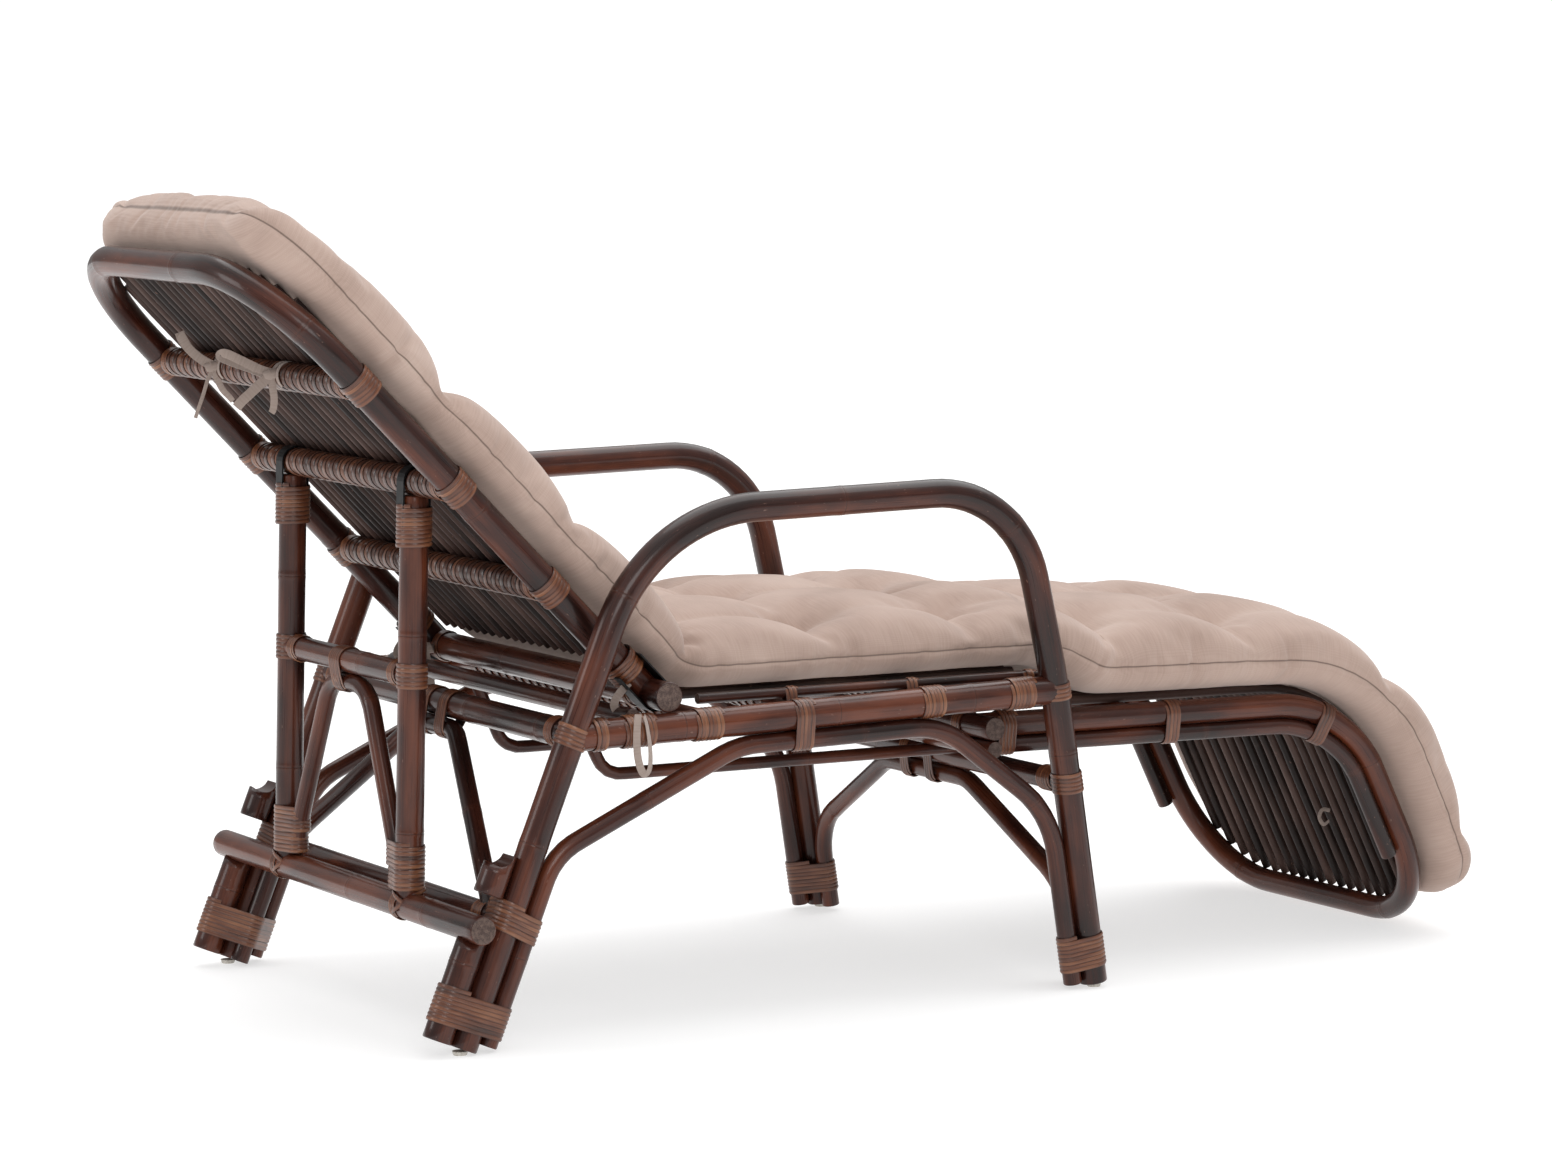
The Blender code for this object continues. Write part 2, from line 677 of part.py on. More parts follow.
def loop_over(centre, angle, radius, tail):
    """Drawing points of a strap that comes down both sides of a pole and goes round a bar.

    The angle is the pole's direction away from the bar.
    """
    steps = 12
    points = [polar(centre, angle, tail, radius)]
    for i in range(steps + 1):
        around = angle + math.pi / 2 + math.pi * i / steps
        points.append((centre[0] + radius * math.cos(around), centre[1] + radius * math.sin(around)))
    points.append(polar(centre, angle, tail, -radius))
    return points


def hinge_straps():
    radius = BACK_POLE_R + GAP + STRAP_THICK / 2
    points = loop_over(pivot(), BACK_ANGLE, radius, STRAP_TAIL)
    for side, x in (("left", HINGE_STRAP_X), ("right", -HINGE_STRAP_X)):
        strap("hinge_strap_" + side, at_side(x, points), [STRAP_WIDTH] * len(points))


def prop_axis():
    return back_point(BAR_DISTANCES["mid"])


def prop_at(z):
    """Drawing point of the prop frame's plane at a height."""
    top, foot = prop_axis(), notch_bar()
    share = (top[1] - z) / (top[1] - foot[1])
    return (top[0] + share * (foot[0] - top[0]), z)


def bar_cutter(point, radius, half=0.5):
    left, right = at_side(half, [point])[0], at_side(-half, [point])[0]
    return cutter_rod(left, right, radius)


def upright_cutter(x):
    start, end = at_side(x, [prop_axis(), notch_bar()])
    return cutter_rod(start, end, PROP_R)


def prop_frame():
    foot = notch_bar()
    for side, x in (("left", PROP_X), ("right", -PROP_X)):
        start, end = at_side(x, [prop_axis(), foot])
        upright = rod("upright", start, end, PROP_R)
        cut(upright, bar_cutter(prop_axis(), BAR_R), bar_cutter(foot, PROP_R))
        node("prop_upright_" + side, keep_largest(upright), "cane")
    node("prop_foot_bar", cross_pole("bar", *foot, PROP_BAR_HALF, PROP_R), "cane")

    middle = prop_at(PROP_MID_Z)
    bar = cross_pole("bar", *middle, PROP_X, PROP_BAR_R)
    node("prop_mid_bar", keep_largest(cut(bar, upright_cutter(PROP_X), upright_cutter(-PROP_X))), "cane")

    top_z = PROP_MID_Z - PROP_BAR_R - GAP - PROP_ARCH_R
    half = [(PROP_ARCH_HALF_FOOT, PROP_ARCH_FOOT_Z), (PROP_ARCH_HALF_KNEE, PROP_ARCH_KNEE_Z),
            (PROP_ARCH_HALF_TOP, top_z)]
    shape = half + [(-x, z) for x, z in reversed(half)]
    corners = [at_side(x, [prop_at(z)])[0] for x, z in shape]
    bends = (PROP_ARCH_KNEE_BEND, PROP_ARCH_BEND, PROP_ARCH_BEND, PROP_ARCH_KNEE_BEND)
    brace = pole("arch", bent(corners, bends), PROP_ARCH_R, 2)
    cut(brace, upright_cutter(PROP_X), upright_cutter(-PROP_X), bar_cutter(foot, PROP_R))
    node("prop_arch_brace", keep_largest(brace), "cane")

    down = math.atan2(foot[1] - prop_axis()[1], foot[0] - prop_axis()[0])
    radius = max(BAR_R, PROP_R) + GAP + STRAP_THICK / 2
    points = loop_over(prop_axis(), down, radius, HOOK_TAIL)
    widths = [HOOK_WIDTH if i < HOOK_NECK_STEP else HOOK_NECK for i in range(len(points))]
    for side, x in (("left", PROP_X), ("right", -PROP_X)):
        strap("prop_hook_" + side, at_side(x, points), widths)


def foot_rear_lower_z():
    return RUNNER_Z + RUNNER_R + GAP + FOOT_LOWER_R


def foot_rear_upper_z():
    return foot_rear_lower_z() + FOOT_LOWER_R + GAP + FOOT_BAR_R


def foot_profile(offset=0.0):
    """Corners of the footrest's side pole on the drawing, moved out by an offset."""
    z = foot_rear_upper_z()
    corners = [(FOOT_REAR_Y, z), FOOT_KNEE, FOOT_SHIN, FOOT_END]
    return offset_corners(corners, offset)


def offset_corners(corners, offset):
    """Moves a polyline sideways to its right, corners kept sharp."""
    normals = []
    for (y0, z0), (y1, z1) in zip(corners, corners[1:]):
        length = math.hypot(y1 - y0, z1 - z0)
        normals.append(((z1 - z0) / length, -(y1 - y0) / length))
    moved = []
    for i, (y, z) in enumerate(corners):
        before = normals[max(i - 1, 0)]
        after = normals[min(i, len(normals) - 1)]
        scale = offset / (1 + before[0] * after[0] + before[1] * after[1])
        moved.append((y + (before[0] + after[0]) * scale, z + (before[1] + after[1]) * scale))
    return moved


def footrest():
    """U-bent frame with thinner poles bound under it, on two rear bars that ride the runners."""
    corners = foot_profile()
    side = at_side(FOOT_X, corners)
    other = at_side(-FOOT_X, corners)
    bends = (FOOT_KNEE_BEND, FOOT_SHIN_BEND, FOOT_CORNER_BEND, FOOT_CORNER_BEND, FOOT_SHIN_BEND, FOOT_KNEE_BEND)
    frame = pole("frame", bent(side + other[::-1], bends), FOOT_POLE_R)
    rear_bar = (FOOT_REAR_Y, foot_rear_upper_z())
    cut(frame, bar_cutter(rear_bar, FOOT_BAR_R))
    node("footrest_frame", keep_largest(frame), "cane")

    lower_bar = (FOOT_REAR_Y, foot_rear_lower_z())
    node("footrest_rear_bar_lower", cross_pole("bar", *lower_bar, FOOT_BAR_HALF, FOOT_LOWER_R, 2), "cane")
    below = foot_profile(-(FOOT_POLE_R + GAP + FOOT_LOWER_R))
    shin, end = below[2], below[3]
    stop = tuple(a + (b - a) * FOOT_LOWER_END for a, b in zip(shin, end))
    path_corners = [(FOOT_REAR_Y, foot_rear_lower_z()), below[1], shin, stop]
    closer = FOOT_POLE_R + GAP + FOOT_LOWER_R
    for name, x in (("left", FOOT_X), ("right", -FOOT_X)):
        path = bent(at_side(x, path_corners), (FOOT_KNEE_BEND - closer, FOOT_SHIN_BEND - closer))
        lower = pole("lower", path, FOOT_LOWER_R, 2)
        cut(lower, bar_cutter(lower_bar, FOOT_LOWER_R))
        node("footrest_lower_pole_" + name, keep_largest(lower), "cane")

    offset = FOOT_BAR_R + SLAT_R - SLAT_SINK
    slat_corners = foot_profile(offset)
    rear_extra = FOOT_BAR_R + 0.004
    slat_corners[0] = (slat_corners[0][0] + rear_extra, slat_corners[0][1])
    paths = []
    for x in slat_rows(FOOT_SLATS_PER_SIDE):
        inset = end_inset(x, FOOT_X, FOOT_CORNER_BEND)
        last, before = slat_corners[-1], slat_corners[-2]
        length = math.dist(last, before)
        end = tuple(a + (b - a) * inset / length for a, b in zip(last, before))
        corners = slat_corners[:-1] + [end]
        paths.append(bent(at_side(x, corners), (FOOT_KNEE_BEND + offset, FOOT_SHIN_BEND + offset), SLAT_STEP))
    slats = as_mesh(curve_object("slats", paths, SLAT_R, 1))
    cut(slats, pole("outline", bent(side + other[::-1], bends), FOOT_POLE_R + GAP))
    bars = cross_pole("bar", *rear_bar, FOOT_BAR_HALF, FOOT_BAR_R)
    share = (FOOT_REAR_Y - FOOT_MID_BAR_Y) / (FOOT_REAR_Y - FOOT_KNEE[0])
    mid_z = foot_rear_upper_z() * (1 - share) + FOOT_KNEE[1] * share + FOOT_BAR_R - FOOT_MID_R
    mid = cross_pole("mid", FOOT_MID_BAR_Y, mid_z, FOOT_X - FOOT_POLE_R - GAP * 2, FOOT_MID_R)
    join_meshes(bars, mid)
    node("footrest_slat_panel", unite(slats, bars), "slat")


def glides():
    """Small plastic glides under the legs."""
    for end, y in (("rear", rear_leg_y(0.0)), ("front", front_leg_y(0.0))):
        for side, x in (("left", ARM_X), ("right", -ARM_X)):
            work = bmesh.new()
            height = GLIDE_HEIGHT - GAP
            bmesh.ops.create_cone(work, cap_ends=True, segments=16, radius1=0.008,
                                  radius2=0.0095, depth=height)
            mesh = bpy.data.meshes.new("glide")
            work.to_mesh(mesh)
            work.free()
            obj = bpy.data.objects.new("glide", mesh)
            obj.location = at_side(x, [(y, height / 2)])[0]
            bpy.context.scene.collection.objects.link(obj)
            node("foot_glide_" + end + "_" + side, obj, "glide")


def pad(name, base, thickness, length, rows, columns, free_ends=(False, False)):
    """A stuffed length of the pad over a base line on the drawing.

    base gives the drawing point at a share of the length and a height above the deck. Free ends
    are rounded, the others butt against the next length. The sides draw in beside the tufts.
    """
    work = bmesh.new()
    bmesh.ops.create_grid(work, x_segments=columns, y_segments=rows, size=0.5)
    under = list(work.verts)
    result = bmesh.ops.extrude_face_region(work, geom=list(work.faces))
    over = [item for item in result["geom"] if isinstance(item, bmesh.types.BMVert)]
    for vert in under + over:
        plain = vert.co.x * 2
        across = 0.6 * plain + 0.4 * math.sin(plain * math.pi / 2)
        share = eased(vert.co.y + 0.5, free_ends)
        along = share * length
        to_end = min(along if free_ends[0] else 1.0, length - along if free_ends[1] else 1.0)
        corner = 1 - min(to_end / PAD_CORNER, 1.0)
        half = PAD_HALF - PAD_CORNER * (1 - math.sqrt(max(0.0, 1 - corner * corner)))
        ends = math.sqrt(max(0.0, 1 - (1 - min(to_end / PAD_END_ROUND, 1.0)) ** 2))
        fullness = math.sqrt(max(0.0, 1 - abs(across) ** 8)) * ends
        wave = 0.5 + 0.5 * math.cos(2 * math.pi * along / PAD_TUFT_SPACING)
        dimple = wave ** 2 * max(0.0, -math.cos(3 * math.pi * across)) * PAD_TUFT_DEPTH
        thick = thickness(share)
        if vert in under:
            height = thick * PAD_LOW_EDGE * (1 - fullness)
        else:
            height = thick * (PAD_HIGH_EDGE + (1 - PAD_HIGH_EDGE) * fullness) - dimple * fullness
        y, z = base(share, height)
        x = across * (half - PAD_DRAWN_IN * wave * across * across)
        vert.co = Vector((x, y + LAYOUT_SHIFT_Y, z))
    bmesh.ops.recalc_face_normals(work, faces=work.faces)
    if work.calc_volume(signed=True) < 0:
        bmesh.ops.reverse_faces(work, faces=work.faces)
    mesh = bpy.data.meshes.new(name)
    work.to_mesh(mesh)
    work.free()
    obj = bpy.data.objects.new(name, mesh)
    bpy.context.scene.collection.objects.link(obj)
    node(name, obj, "cloth")


def eased(share, free_ends):
    """Crowds the rows towards a free end, where the pad curves most."""
    if free_ends[1]:
        return share * 0.6 + math.sin(share * math.pi / 2) * 0.4
    return share


def stepped(steps, share):
    """Value at a share of the length, between (share, value) steps."""
    for (share0, value0), (share1, value1) in zip(steps, steps[1:]):
        if share <= share1:
            part = (share - share0) / (share1 - share0)
            return value0 + (value1 - value0) * part
    return steps[-1][1]


def cushions():
    centre = pivot()
    deck_z = SEAT_BAR_Z + SEAT_BAR_R + 2 * EDGE_RAIL_R + 2 * GAP - 2 * FACET_SLACK
    clear = BACK_POLE_R + STRAP_THICK + 2 * GAP

    def seat_base(share, height):
        rise = deck_z + height - centre[1]
        behind = max(-rise / math.tan(PAD_HIP_SEAT), math.sqrt(max(0.0, clear ** 2 - rise ** 2)))
        rear = centre[0] - behind
        return (rear + share * (PAD_SEAT_FRONT_Y - rear), deck_z + height)

    seat_length = centre[0] - PAD_SEAT_FRONT_Y
    pad("seat_cushion", seat_base, lambda share: PAD_SEAT_THICK, seat_length, 16, 12)

    low = slat_offset() + SLAT_R + GAP - FACET_SLACK
    lean = PAD_HIP_BACK - BACK_ANGLE

    def back_base(share, height):
        start = (low + height) / math.tan(lean)
        return back_point(start + share * (PAD_BACK_LENGTH - start), low + height)

    pad("back_cushion", back_base, lambda share: PAD_BACK_THICK, PAD_BACK_LENGTH, 22, 12, (False, True))

    inner = low / math.sin(lean) + 2 * GAP
    outer_back = (low + PAD_BACK_THICK) / math.sin(lean)
    outer_seat = (deck_z + PAD_SEAT_THICK - centre[1]) / math.sin(PAD_HIP_SEAT)
    fold = [(0.0, outer_back - inner), (0.5, PAD_FOLD_DEPTH), (1.0, outer_seat - inner)]

    def hip_base(share, height):
        turn = PAD_FOLD_GAP + share * (PAD_HIP_SEAT - PAD_HIP_BACK - 2 * PAD_FOLD_GAP)
        return polar(centre, PAD_HIP_BACK + turn, inner + height)

    pad("cushion_hip_fold", hip_base, lambda share: stepped(fold, share), 0.05, 4, 12)

    offset = FOOT_BAR_R + 2 * SLAT_R - SLAT_SINK + 3 * GAP
    corners = foot_profile(offset)
    before, end = corners[-2:]
    reach = 1 + PAD_FOOT_REACH / math.dist(before, end)
    end = tuple(a + (b - a) * reach for a, b in zip(before, end))
    corners = [(PAD_SEAT_FRONT_Y - GAP, corners[0][1])] + corners[1:-1] + [end]
    bends = (FOOT_KNEE_BEND + offset, FOOT_SHIN_BEND + offset)
    line = bent([Vector((y, z, 0.0)) for y, z in corners], bends)
    total = sum((b - a).length for a, b in zip(line, line[1:]))

    def foot_base(share, height):
        along = share * total
        for a, b in zip(line, line[1:]):
            step = (b - a).length
            if along <= step or b is line[-1]:
                here = a + (b - a) * (along / step)
                way = (b - a).normalized()
                lift = max(0.0, deck_z - here.y) * max(0.0, 1 - share / 0.10)
                return (here.x + way.y * height, here.y - way.x * height + lift)
            along -= step
        return (line[-1].x, line[-1].y)

    def foot_thick(share):
        return stepped(PAD_FOOT_THICK, share)

    pad("foot_cushion", foot_base, foot_thick, total, 28, 12, (False, True))


def leg_bindings():
    """Cane bound round each leg and the brace ends and blocks beside it, above the floor."""
    up_y, up_z = leg_direction()
    block = (ARM_R + GAP + BLOCK_R, 0.0, BLOCK_R)
    brace = ARM_R + GAP + BRACE_R
    rear = [(0.0, 0.0, ARM_R), block, (-brace, 0.0, BRACE_R), (0.0, brace, BRACE_R)]
    front = [(0.0, 0.0, ARM_R), (brace, 0.0, BRACE_R), (0.0, brace, BRACE_R)]
    slope = (FRONT_KNEE[0] - FRONT_FOOT_Y) / FRONT_KNEE[1]
    front_length = math.hypot(slope, 1.0)
    ends = (("rear", rear, (up_y, up_z), REAR_FOOT_Y), ("front", front, (slope / front_length, 1 / front_length),
                                                        FRONT_FOOT_Y))
    for end, circles, way, foot_y in ends:
        for side, x in (("left", ARM_X), ("right", -ARM_X)):
            inward = -1 if x > 0 else 1
            rings = []
            for distance in (BINDING_LOW, BINDING_HIGH):
                for swell in (BINDING_AIR, BINDING_AIR + BINDING_THICK):
                    ring = []
                    for out, aside in hull(circles, swell):
                        y = foot_y + way[0] * distance + way[1] * out
                        z = way[1] * distance - way[0] * out
                        ring.append(at_side(x + inward * aside, [(y, z)])[0])
                    rings.append(ring)
            low_in, low_out, high_in, high_out = rings
            sleeve("foot_binding_" + end + "_" + side, [low_in, low_out, high_out, high_in])


def hull(circles, swell):
    """Points of a band stretched round circles given as (out, aside, radius)."""
    spots = []
    for out, aside, radius in circles:
        for i in range(BINDING_POINTS):
            angle = 2 * math.pi * i / BINDING_POINTS
            spots.append((out, aside, radius, math.cos(angle), math.sin(angle)))
    tight = [Vector((out + radius * c, aside + radius * s)) for out, aside, radius, c, s in spots]
    points = []
    for index in convex_hull_2d(tight):
        out, aside, radius, c, s = spots[index]
        points.append((out + (radius + swell) * c, aside + (radius + swell) * s))
    return points


def sleeve(name, rings):
    """A closed tube wall from four rings in order round its section."""
    work = bmesh.new()
    rows = [[work.verts.new(point) for point in ring] for ring in rings]
    count = len(rows[0])
    for row, following in zip(rows, rows[1:] + rows[:1]):
        for i in range(count):
            j = (i + 1) % count
            work.faces.new((row[i], row[j], following[j], following[i]))
    bmesh.ops.recalc_face_normals(work, faces=work.faces)
    mesh = bpy.data.meshes.new(name)
    work.to_mesh(mesh)
    work.free()
    obj = bpy.data.objects.new(name, mesh)
    bpy.context.scene.collection.objects.link(obj)
    node(name, obj, "binding")


MATERIALS = {}
NODES = []


def node(name, obj, material):
    """Names a finished piece and gives it its finish."""
    obj.name = name
    obj.data.name = name
    obj.data.materials.clear()
    obj.data.materials.append(MATERIALS[material])
    if obj.type == "MESH" and material != "metal":
        obj.data.shade_smooth()
        obj.data.set_sharp_from_angle(angle=math.radians(40))
    NODES.append(obj)


BACK_NODES = ("back_", "pivot_bar", "hinge_strap_")
FOOTREST_NODES = ("footrest_frame", "footrest_lower", "footrest_rear", "footrest_slat")


def gather():
    """Puts the pieces in the lounger's own collection, each moving one under its joint."""
    lounger = bpy.data.collections.new("sun_lounger")
    bpy.context.scene.collection.children.link(lounger)
    joints = {}
    for name, place in (("back_recline", pivot()), ("prop_swing", prop_axis()),
                        ("footrest_slide", (FOOT_REAR_Y, foot_rear_upper_z()))):
        joints[name] = bpy.data.objects.new(name, None)
        joints[name].location = at_side(0.0, [place])[0]
        joints[name].empty_display_size = 0.05
        lounger.objects.link(joints[name])
    bpy.context.view_layer.update()
    hang(joints["prop_swing"], joints["back_recline"])
    for obj in NODES:
        for owner in list(obj.users_collection):
            owner.objects.unlink(obj)
        lounger.objects.link(obj)
        if obj.name.startswith(BACK_NODES):
            hang(obj, joints["back_recline"])
        elif obj.name.startswith("prop_"):
            hang(obj, joints["prop_swing"])
        elif obj.name.startswith(FOOTREST_NODES):
            hang(obj, joints["footrest_slide"])


def hang(obj, parent):
    """Parents an object without moving it."""
    obj.parent = parent
    obj.matrix_parent_inverse = parent.matrix_world.inverted()


def main():
    clear_scene()
    MATERIALS.update({
        "cane": new_material("stained_rattan", STAIN, 0.28),
        "slat": new_material("rattan_slat", STAIN, 0.5),
        "binding": new_material("rattan_binding", BINDING, 0.4),
        "cloth": new_material("taupe_cloth", CLOTH, 0.9),
        "metal": new_material("black_metal", BLACK_METAL, 0.35, 0.8),
        "glide": new_material("glide_plastic", GLIDE_PLASTIC, 0.5),
    })
    arm_frames()
    side_rails()
    side_braces()
    rear_cross_members()
    front_cross_members()
    runners()
    notch_blocks()
    seat_deck()
    back_frame()
    back_slats()
    hinge_straps()
    prop_frame()
    footrest()
    glides()
    leg_bindings()
    cushions()
    gather()
    total = 0
    for obj in NODES:
        obj.data.calc_loop_triangles()
        total += len(obj.data.loop_triangles)
    print("triangles", total, "nodes", len(NODES))


main()
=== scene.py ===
"""Looks of a rattan sun lounger with a reclining back, a notched prop and a slide-out footrest.

Everything is in metres on the part's own frame: +X is the sitter's left, +Y the head end and the
floor is Z = 0. Side profiles are (y, z) pairs on the part's side drawing, which Layout.lift puts
into space.
"""

from __future__ import annotations

import json
import logging
import math
import random
import sys
from dataclasses import dataclass, field
from enum import Enum

import bpy
import numpy as np
from mathutils import Matrix, Vector
from mathutils.geometry import convex_hull_2d

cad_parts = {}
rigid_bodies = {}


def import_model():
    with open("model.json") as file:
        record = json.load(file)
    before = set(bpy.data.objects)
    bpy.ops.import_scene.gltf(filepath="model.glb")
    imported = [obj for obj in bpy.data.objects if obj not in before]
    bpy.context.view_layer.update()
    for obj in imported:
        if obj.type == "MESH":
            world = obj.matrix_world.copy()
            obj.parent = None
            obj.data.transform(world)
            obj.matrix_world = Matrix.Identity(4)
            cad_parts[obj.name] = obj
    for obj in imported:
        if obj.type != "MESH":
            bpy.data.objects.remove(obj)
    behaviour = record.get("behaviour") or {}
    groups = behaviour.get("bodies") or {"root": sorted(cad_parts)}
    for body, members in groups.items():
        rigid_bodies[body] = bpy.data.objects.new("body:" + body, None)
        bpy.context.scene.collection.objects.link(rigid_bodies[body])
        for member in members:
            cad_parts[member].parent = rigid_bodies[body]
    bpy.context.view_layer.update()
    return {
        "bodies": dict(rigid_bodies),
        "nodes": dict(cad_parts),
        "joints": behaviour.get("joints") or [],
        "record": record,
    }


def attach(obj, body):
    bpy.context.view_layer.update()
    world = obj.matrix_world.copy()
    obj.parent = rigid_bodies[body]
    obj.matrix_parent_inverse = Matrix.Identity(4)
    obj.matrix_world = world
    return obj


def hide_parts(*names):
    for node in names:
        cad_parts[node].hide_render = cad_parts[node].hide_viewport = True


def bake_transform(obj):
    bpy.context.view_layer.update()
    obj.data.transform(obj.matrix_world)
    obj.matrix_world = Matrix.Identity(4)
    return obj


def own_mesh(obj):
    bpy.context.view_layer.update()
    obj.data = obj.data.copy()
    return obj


LOG = logging.getLogger("sun_lounger")
Pair = tuple[float, float]


# The side drawing


@dataclass(frozen=True)
class Layout:
    """The lounger's side drawing: the part's own sizes, in metres."""

    shift: float = 0.03688
    gap: float = 0.0003
    slack: float = 0.0009
    arm_x: float = 0.342
    arm_r: float = 0.0178
    rail_r: float = 0.018
    pivot_r: float = 0.018
    brace_r: float = 0.0118
    cross_rail_r: float = 0.017
    front_rail_r: float = 0.014
    stretcher_r: float = 0.013
    rear_pole_r: float = 0.0115
    runner_r: float = 0.008
    edge_r: float = 0.0065
    back_r: float = 0.0185
    bar_r: float = 0.0165
    slat_r: float = 0.006
    block_r: float = 0.018
    prop_r: float = 0.017
    prop_bar_r: float = 0.015
    prop_arch_r: float = 0.011
    foot_r: float = 0.0155
    foot_lower_r: float = 0.0108
    foot_bar_r: float = 0.015
    foot_mid_r: float = 0.012
    rear_foot_y: float = 0.6162
    lean: float = 0.4053
    front_foot_y: float = -0.264
    knee: Pair = (-0.200, 0.400)
    rail_rear_z: float = 0.3635
    rail_front_z: float = 0.378
    pivot_y: float = 0.340
    back_angle: float = math.radians(45.5)
    back_x: float = 0.288
    back_length: float = 0.714
    back_bend: float = 0.150
    bar_top: float = 0.5296
    bar_mid: float = 0.3578
    bar_low: float = 0.1846
    seat_bar_z: float = 0.376
    seat_bar_r: float = 0.012
    slat_sink: float = 0.0016
    slat_pitch: float = 0.022
    runner_z: float = 0.283
    foot_x: float = 0.262
    foot_rear_y: float = -0.140
    foot_corner: float = 0.140
    foot_knee: Pair = (-0.654, 0.3235)
    foot_shin: Pair = (-0.735, 0.262)
    foot_end: Pair = (-0.8565, 0.019)
    foot_bar_half: float = 0.305
    edge_x: float = 0.312
    deck_front_y: float = -0.196
    seat_bars_y: tuple[float, ...] = (0.297, 0.157, -0.013, -0.183)
    rear_cross_z: float = 0.366
    stretcher_z: float = 0.154
    notch_z: float = 0.150
    notch_behind: float = 0.044
    pivot_half: float = 0.345
    prop_mid_z: float = 0.426
    prop_bar_half: float = 0.379

    def lift(self, x: float, *points: Pair) -> list[Vector]:
        """Puts drawing points into space at one x."""
        return [Vector((x, y + self.shift, z)) for y, z in points]

    def spot(self, x: float, point: Pair) -> Vector:
        """Puts one drawing point into space."""
        return self.lift(x, point)[0]

    def across(self, half: float, point: Pair) -> list[Vector]:
        """Both ends of a pole that lies across the lounger."""
        return self.lift(half, point) + self.lift(-half, point)

    def rear_leg(self, z: float, ahead: float = 0.0) -> Pair:
        """Point on a rear leg's axis at a height, or ahead of it."""
        return (self.rear_foot_y - self.lean * z - ahead, z)

    def front_leg(self, z: float, behind: float = 0.0) -> Pair:
        """Point on a front leg's axis at a height, or behind it."""
        slope = (self.knee[0] - self.front_foot_y) / self.knee[1]
        return (self.front_foot_y + slope * z + behind, z)

    def leg_way(self) -> Pair:
        """Unit vector up a rear leg."""
        size = math.hypot(self.lean, 1.0)
        return (-self.lean / size, 1.0 / size)

    def rear_way(self) -> Vector:
        """Direction up a rear leg, in space."""
        return Vector((0, *self.leg_way()))

    def front_way(self) -> Vector:
        """Direction up a front leg, in space."""
        return Vector((0, self.knee[0] - self.front_foot_y, self.knee[1])).normalized()

    def back_way(self) -> Vector:
        """Direction up the back, in space."""
        return Vector((0, math.cos(self.back_angle), math.sin(self.back_angle)))

    def front_rail_z(self) -> float:
        """Height of the front cross rail, which lies under the footrest's runners."""
        return self.runner_z - self.runner_r - self.gap - self.front_rail_r + self.slack

    def rail(self, y: float, above: float = 0.0) -> Pair:
        """Point on the side rails' axis, or above it."""
        rear, front = self.rear_leg(self.rail_rear_z)[0], self.front_leg(self.rail_front_z)[0]
        share = (rear - y) / (rear - front)
        return (y, self.rail_rear_z + share * (self.rail_front_z - self.rail_rear_z) + above)

    def pivot(self) -> Pair:
        """Centre of the pivot bar."""
        return self.rail(self.pivot_y, self.rail_r + self.gap + self.pivot_r)

    def polar(self, origin: Pair, angle: float, distance: float, offset: float = 0.0) -> Pair:
        """Point at a distance along a direction, then offset to its left."""
        c, s = math.cos(angle), math.sin(angle)
        return (origin[0] + distance * c - offset * s, origin[1] + distance * s + offset * c)

    def back(self, distance: float, offset: float = 0.0) -> Pair:
        """Point up the back from the pivot."""
        return self.polar(self.pivot(), self.back_angle, distance, offset)

    def slat_offset(self) -> float:
        """How far the back's slats lie in front of its bars' axes."""
        return self.bar_r + self.slat_r - self.slat_sink

    def notch(self, up: float = 0.0) -> Pair:
        """Centre of the prop's foot bar in the lower notch, or further up the leg."""
        way = self.leg_way()
        y, z = self.rear_leg(self.notch_z)
        return (y + self.notch_behind / way[1] + up * way[0], z + up * way[1])

    def prop(self, z: float) -> Pair:
        """Point on the prop frame's plane at a height."""
        top, foot = self.back(self.bar_mid), self.notch()
        share = (top[1] - z) / (top[1] - foot[1])
        return (top[0] + share * (foot[0] - top[0]), z)

    def foot_low_z(self) -> float:
        """Height of the footrest's lower rear bar."""
        return self.runner_z + self.runner_r + self.gap + self.foot_lower_r

    def foot_high_z(self) -> float:
        """Height of the footrest's upper rear bar."""
        return self.foot_low_z() + self.foot_lower_r + self.gap + self.foot_bar_r

    def foot_line(self, offset: float = 0.0) -> list[Pair]:
        """Corners of the footrest's side pole, moved out to its upper side by an offset.

        Args:
            offset: Distance from the pole's axis, positive towards the cushion.

        Returns:
            The corners from the rear bar to the end bar.
        """
        corners = [(self.foot_rear_y, self.foot_high_z()), self.foot_knee, self.foot_shin, self.foot_end]
        normals = []
        for (y0, z0), (y1, z1) in zip(corners, corners[1:]):
            size = math.hypot(y1 - y0, z1 - z0)
            normals.append(((z1 - z0) / size, -(y1 - y0) / size))
        moved = []
        for i, (y, z) in enumerate(corners):
            a, b = normals[max(i - 1, 0)], normals[min(i, len(normals) - 1)]
            scale = offset / (1 + a[0] * b[0] + a[1] * b[1])
            moved.append((y + (a[0] + b[0]) * scale, z + (a[1] + b[1]) * scale))
        return moved


DRAWING = Layout()
SIDES = (("left", 1.0), ("right", -1.0))
BENDS_FOOT = (0.185, 0.160)
ACROSS = Vector((1, 0, 0))


# Ways through space


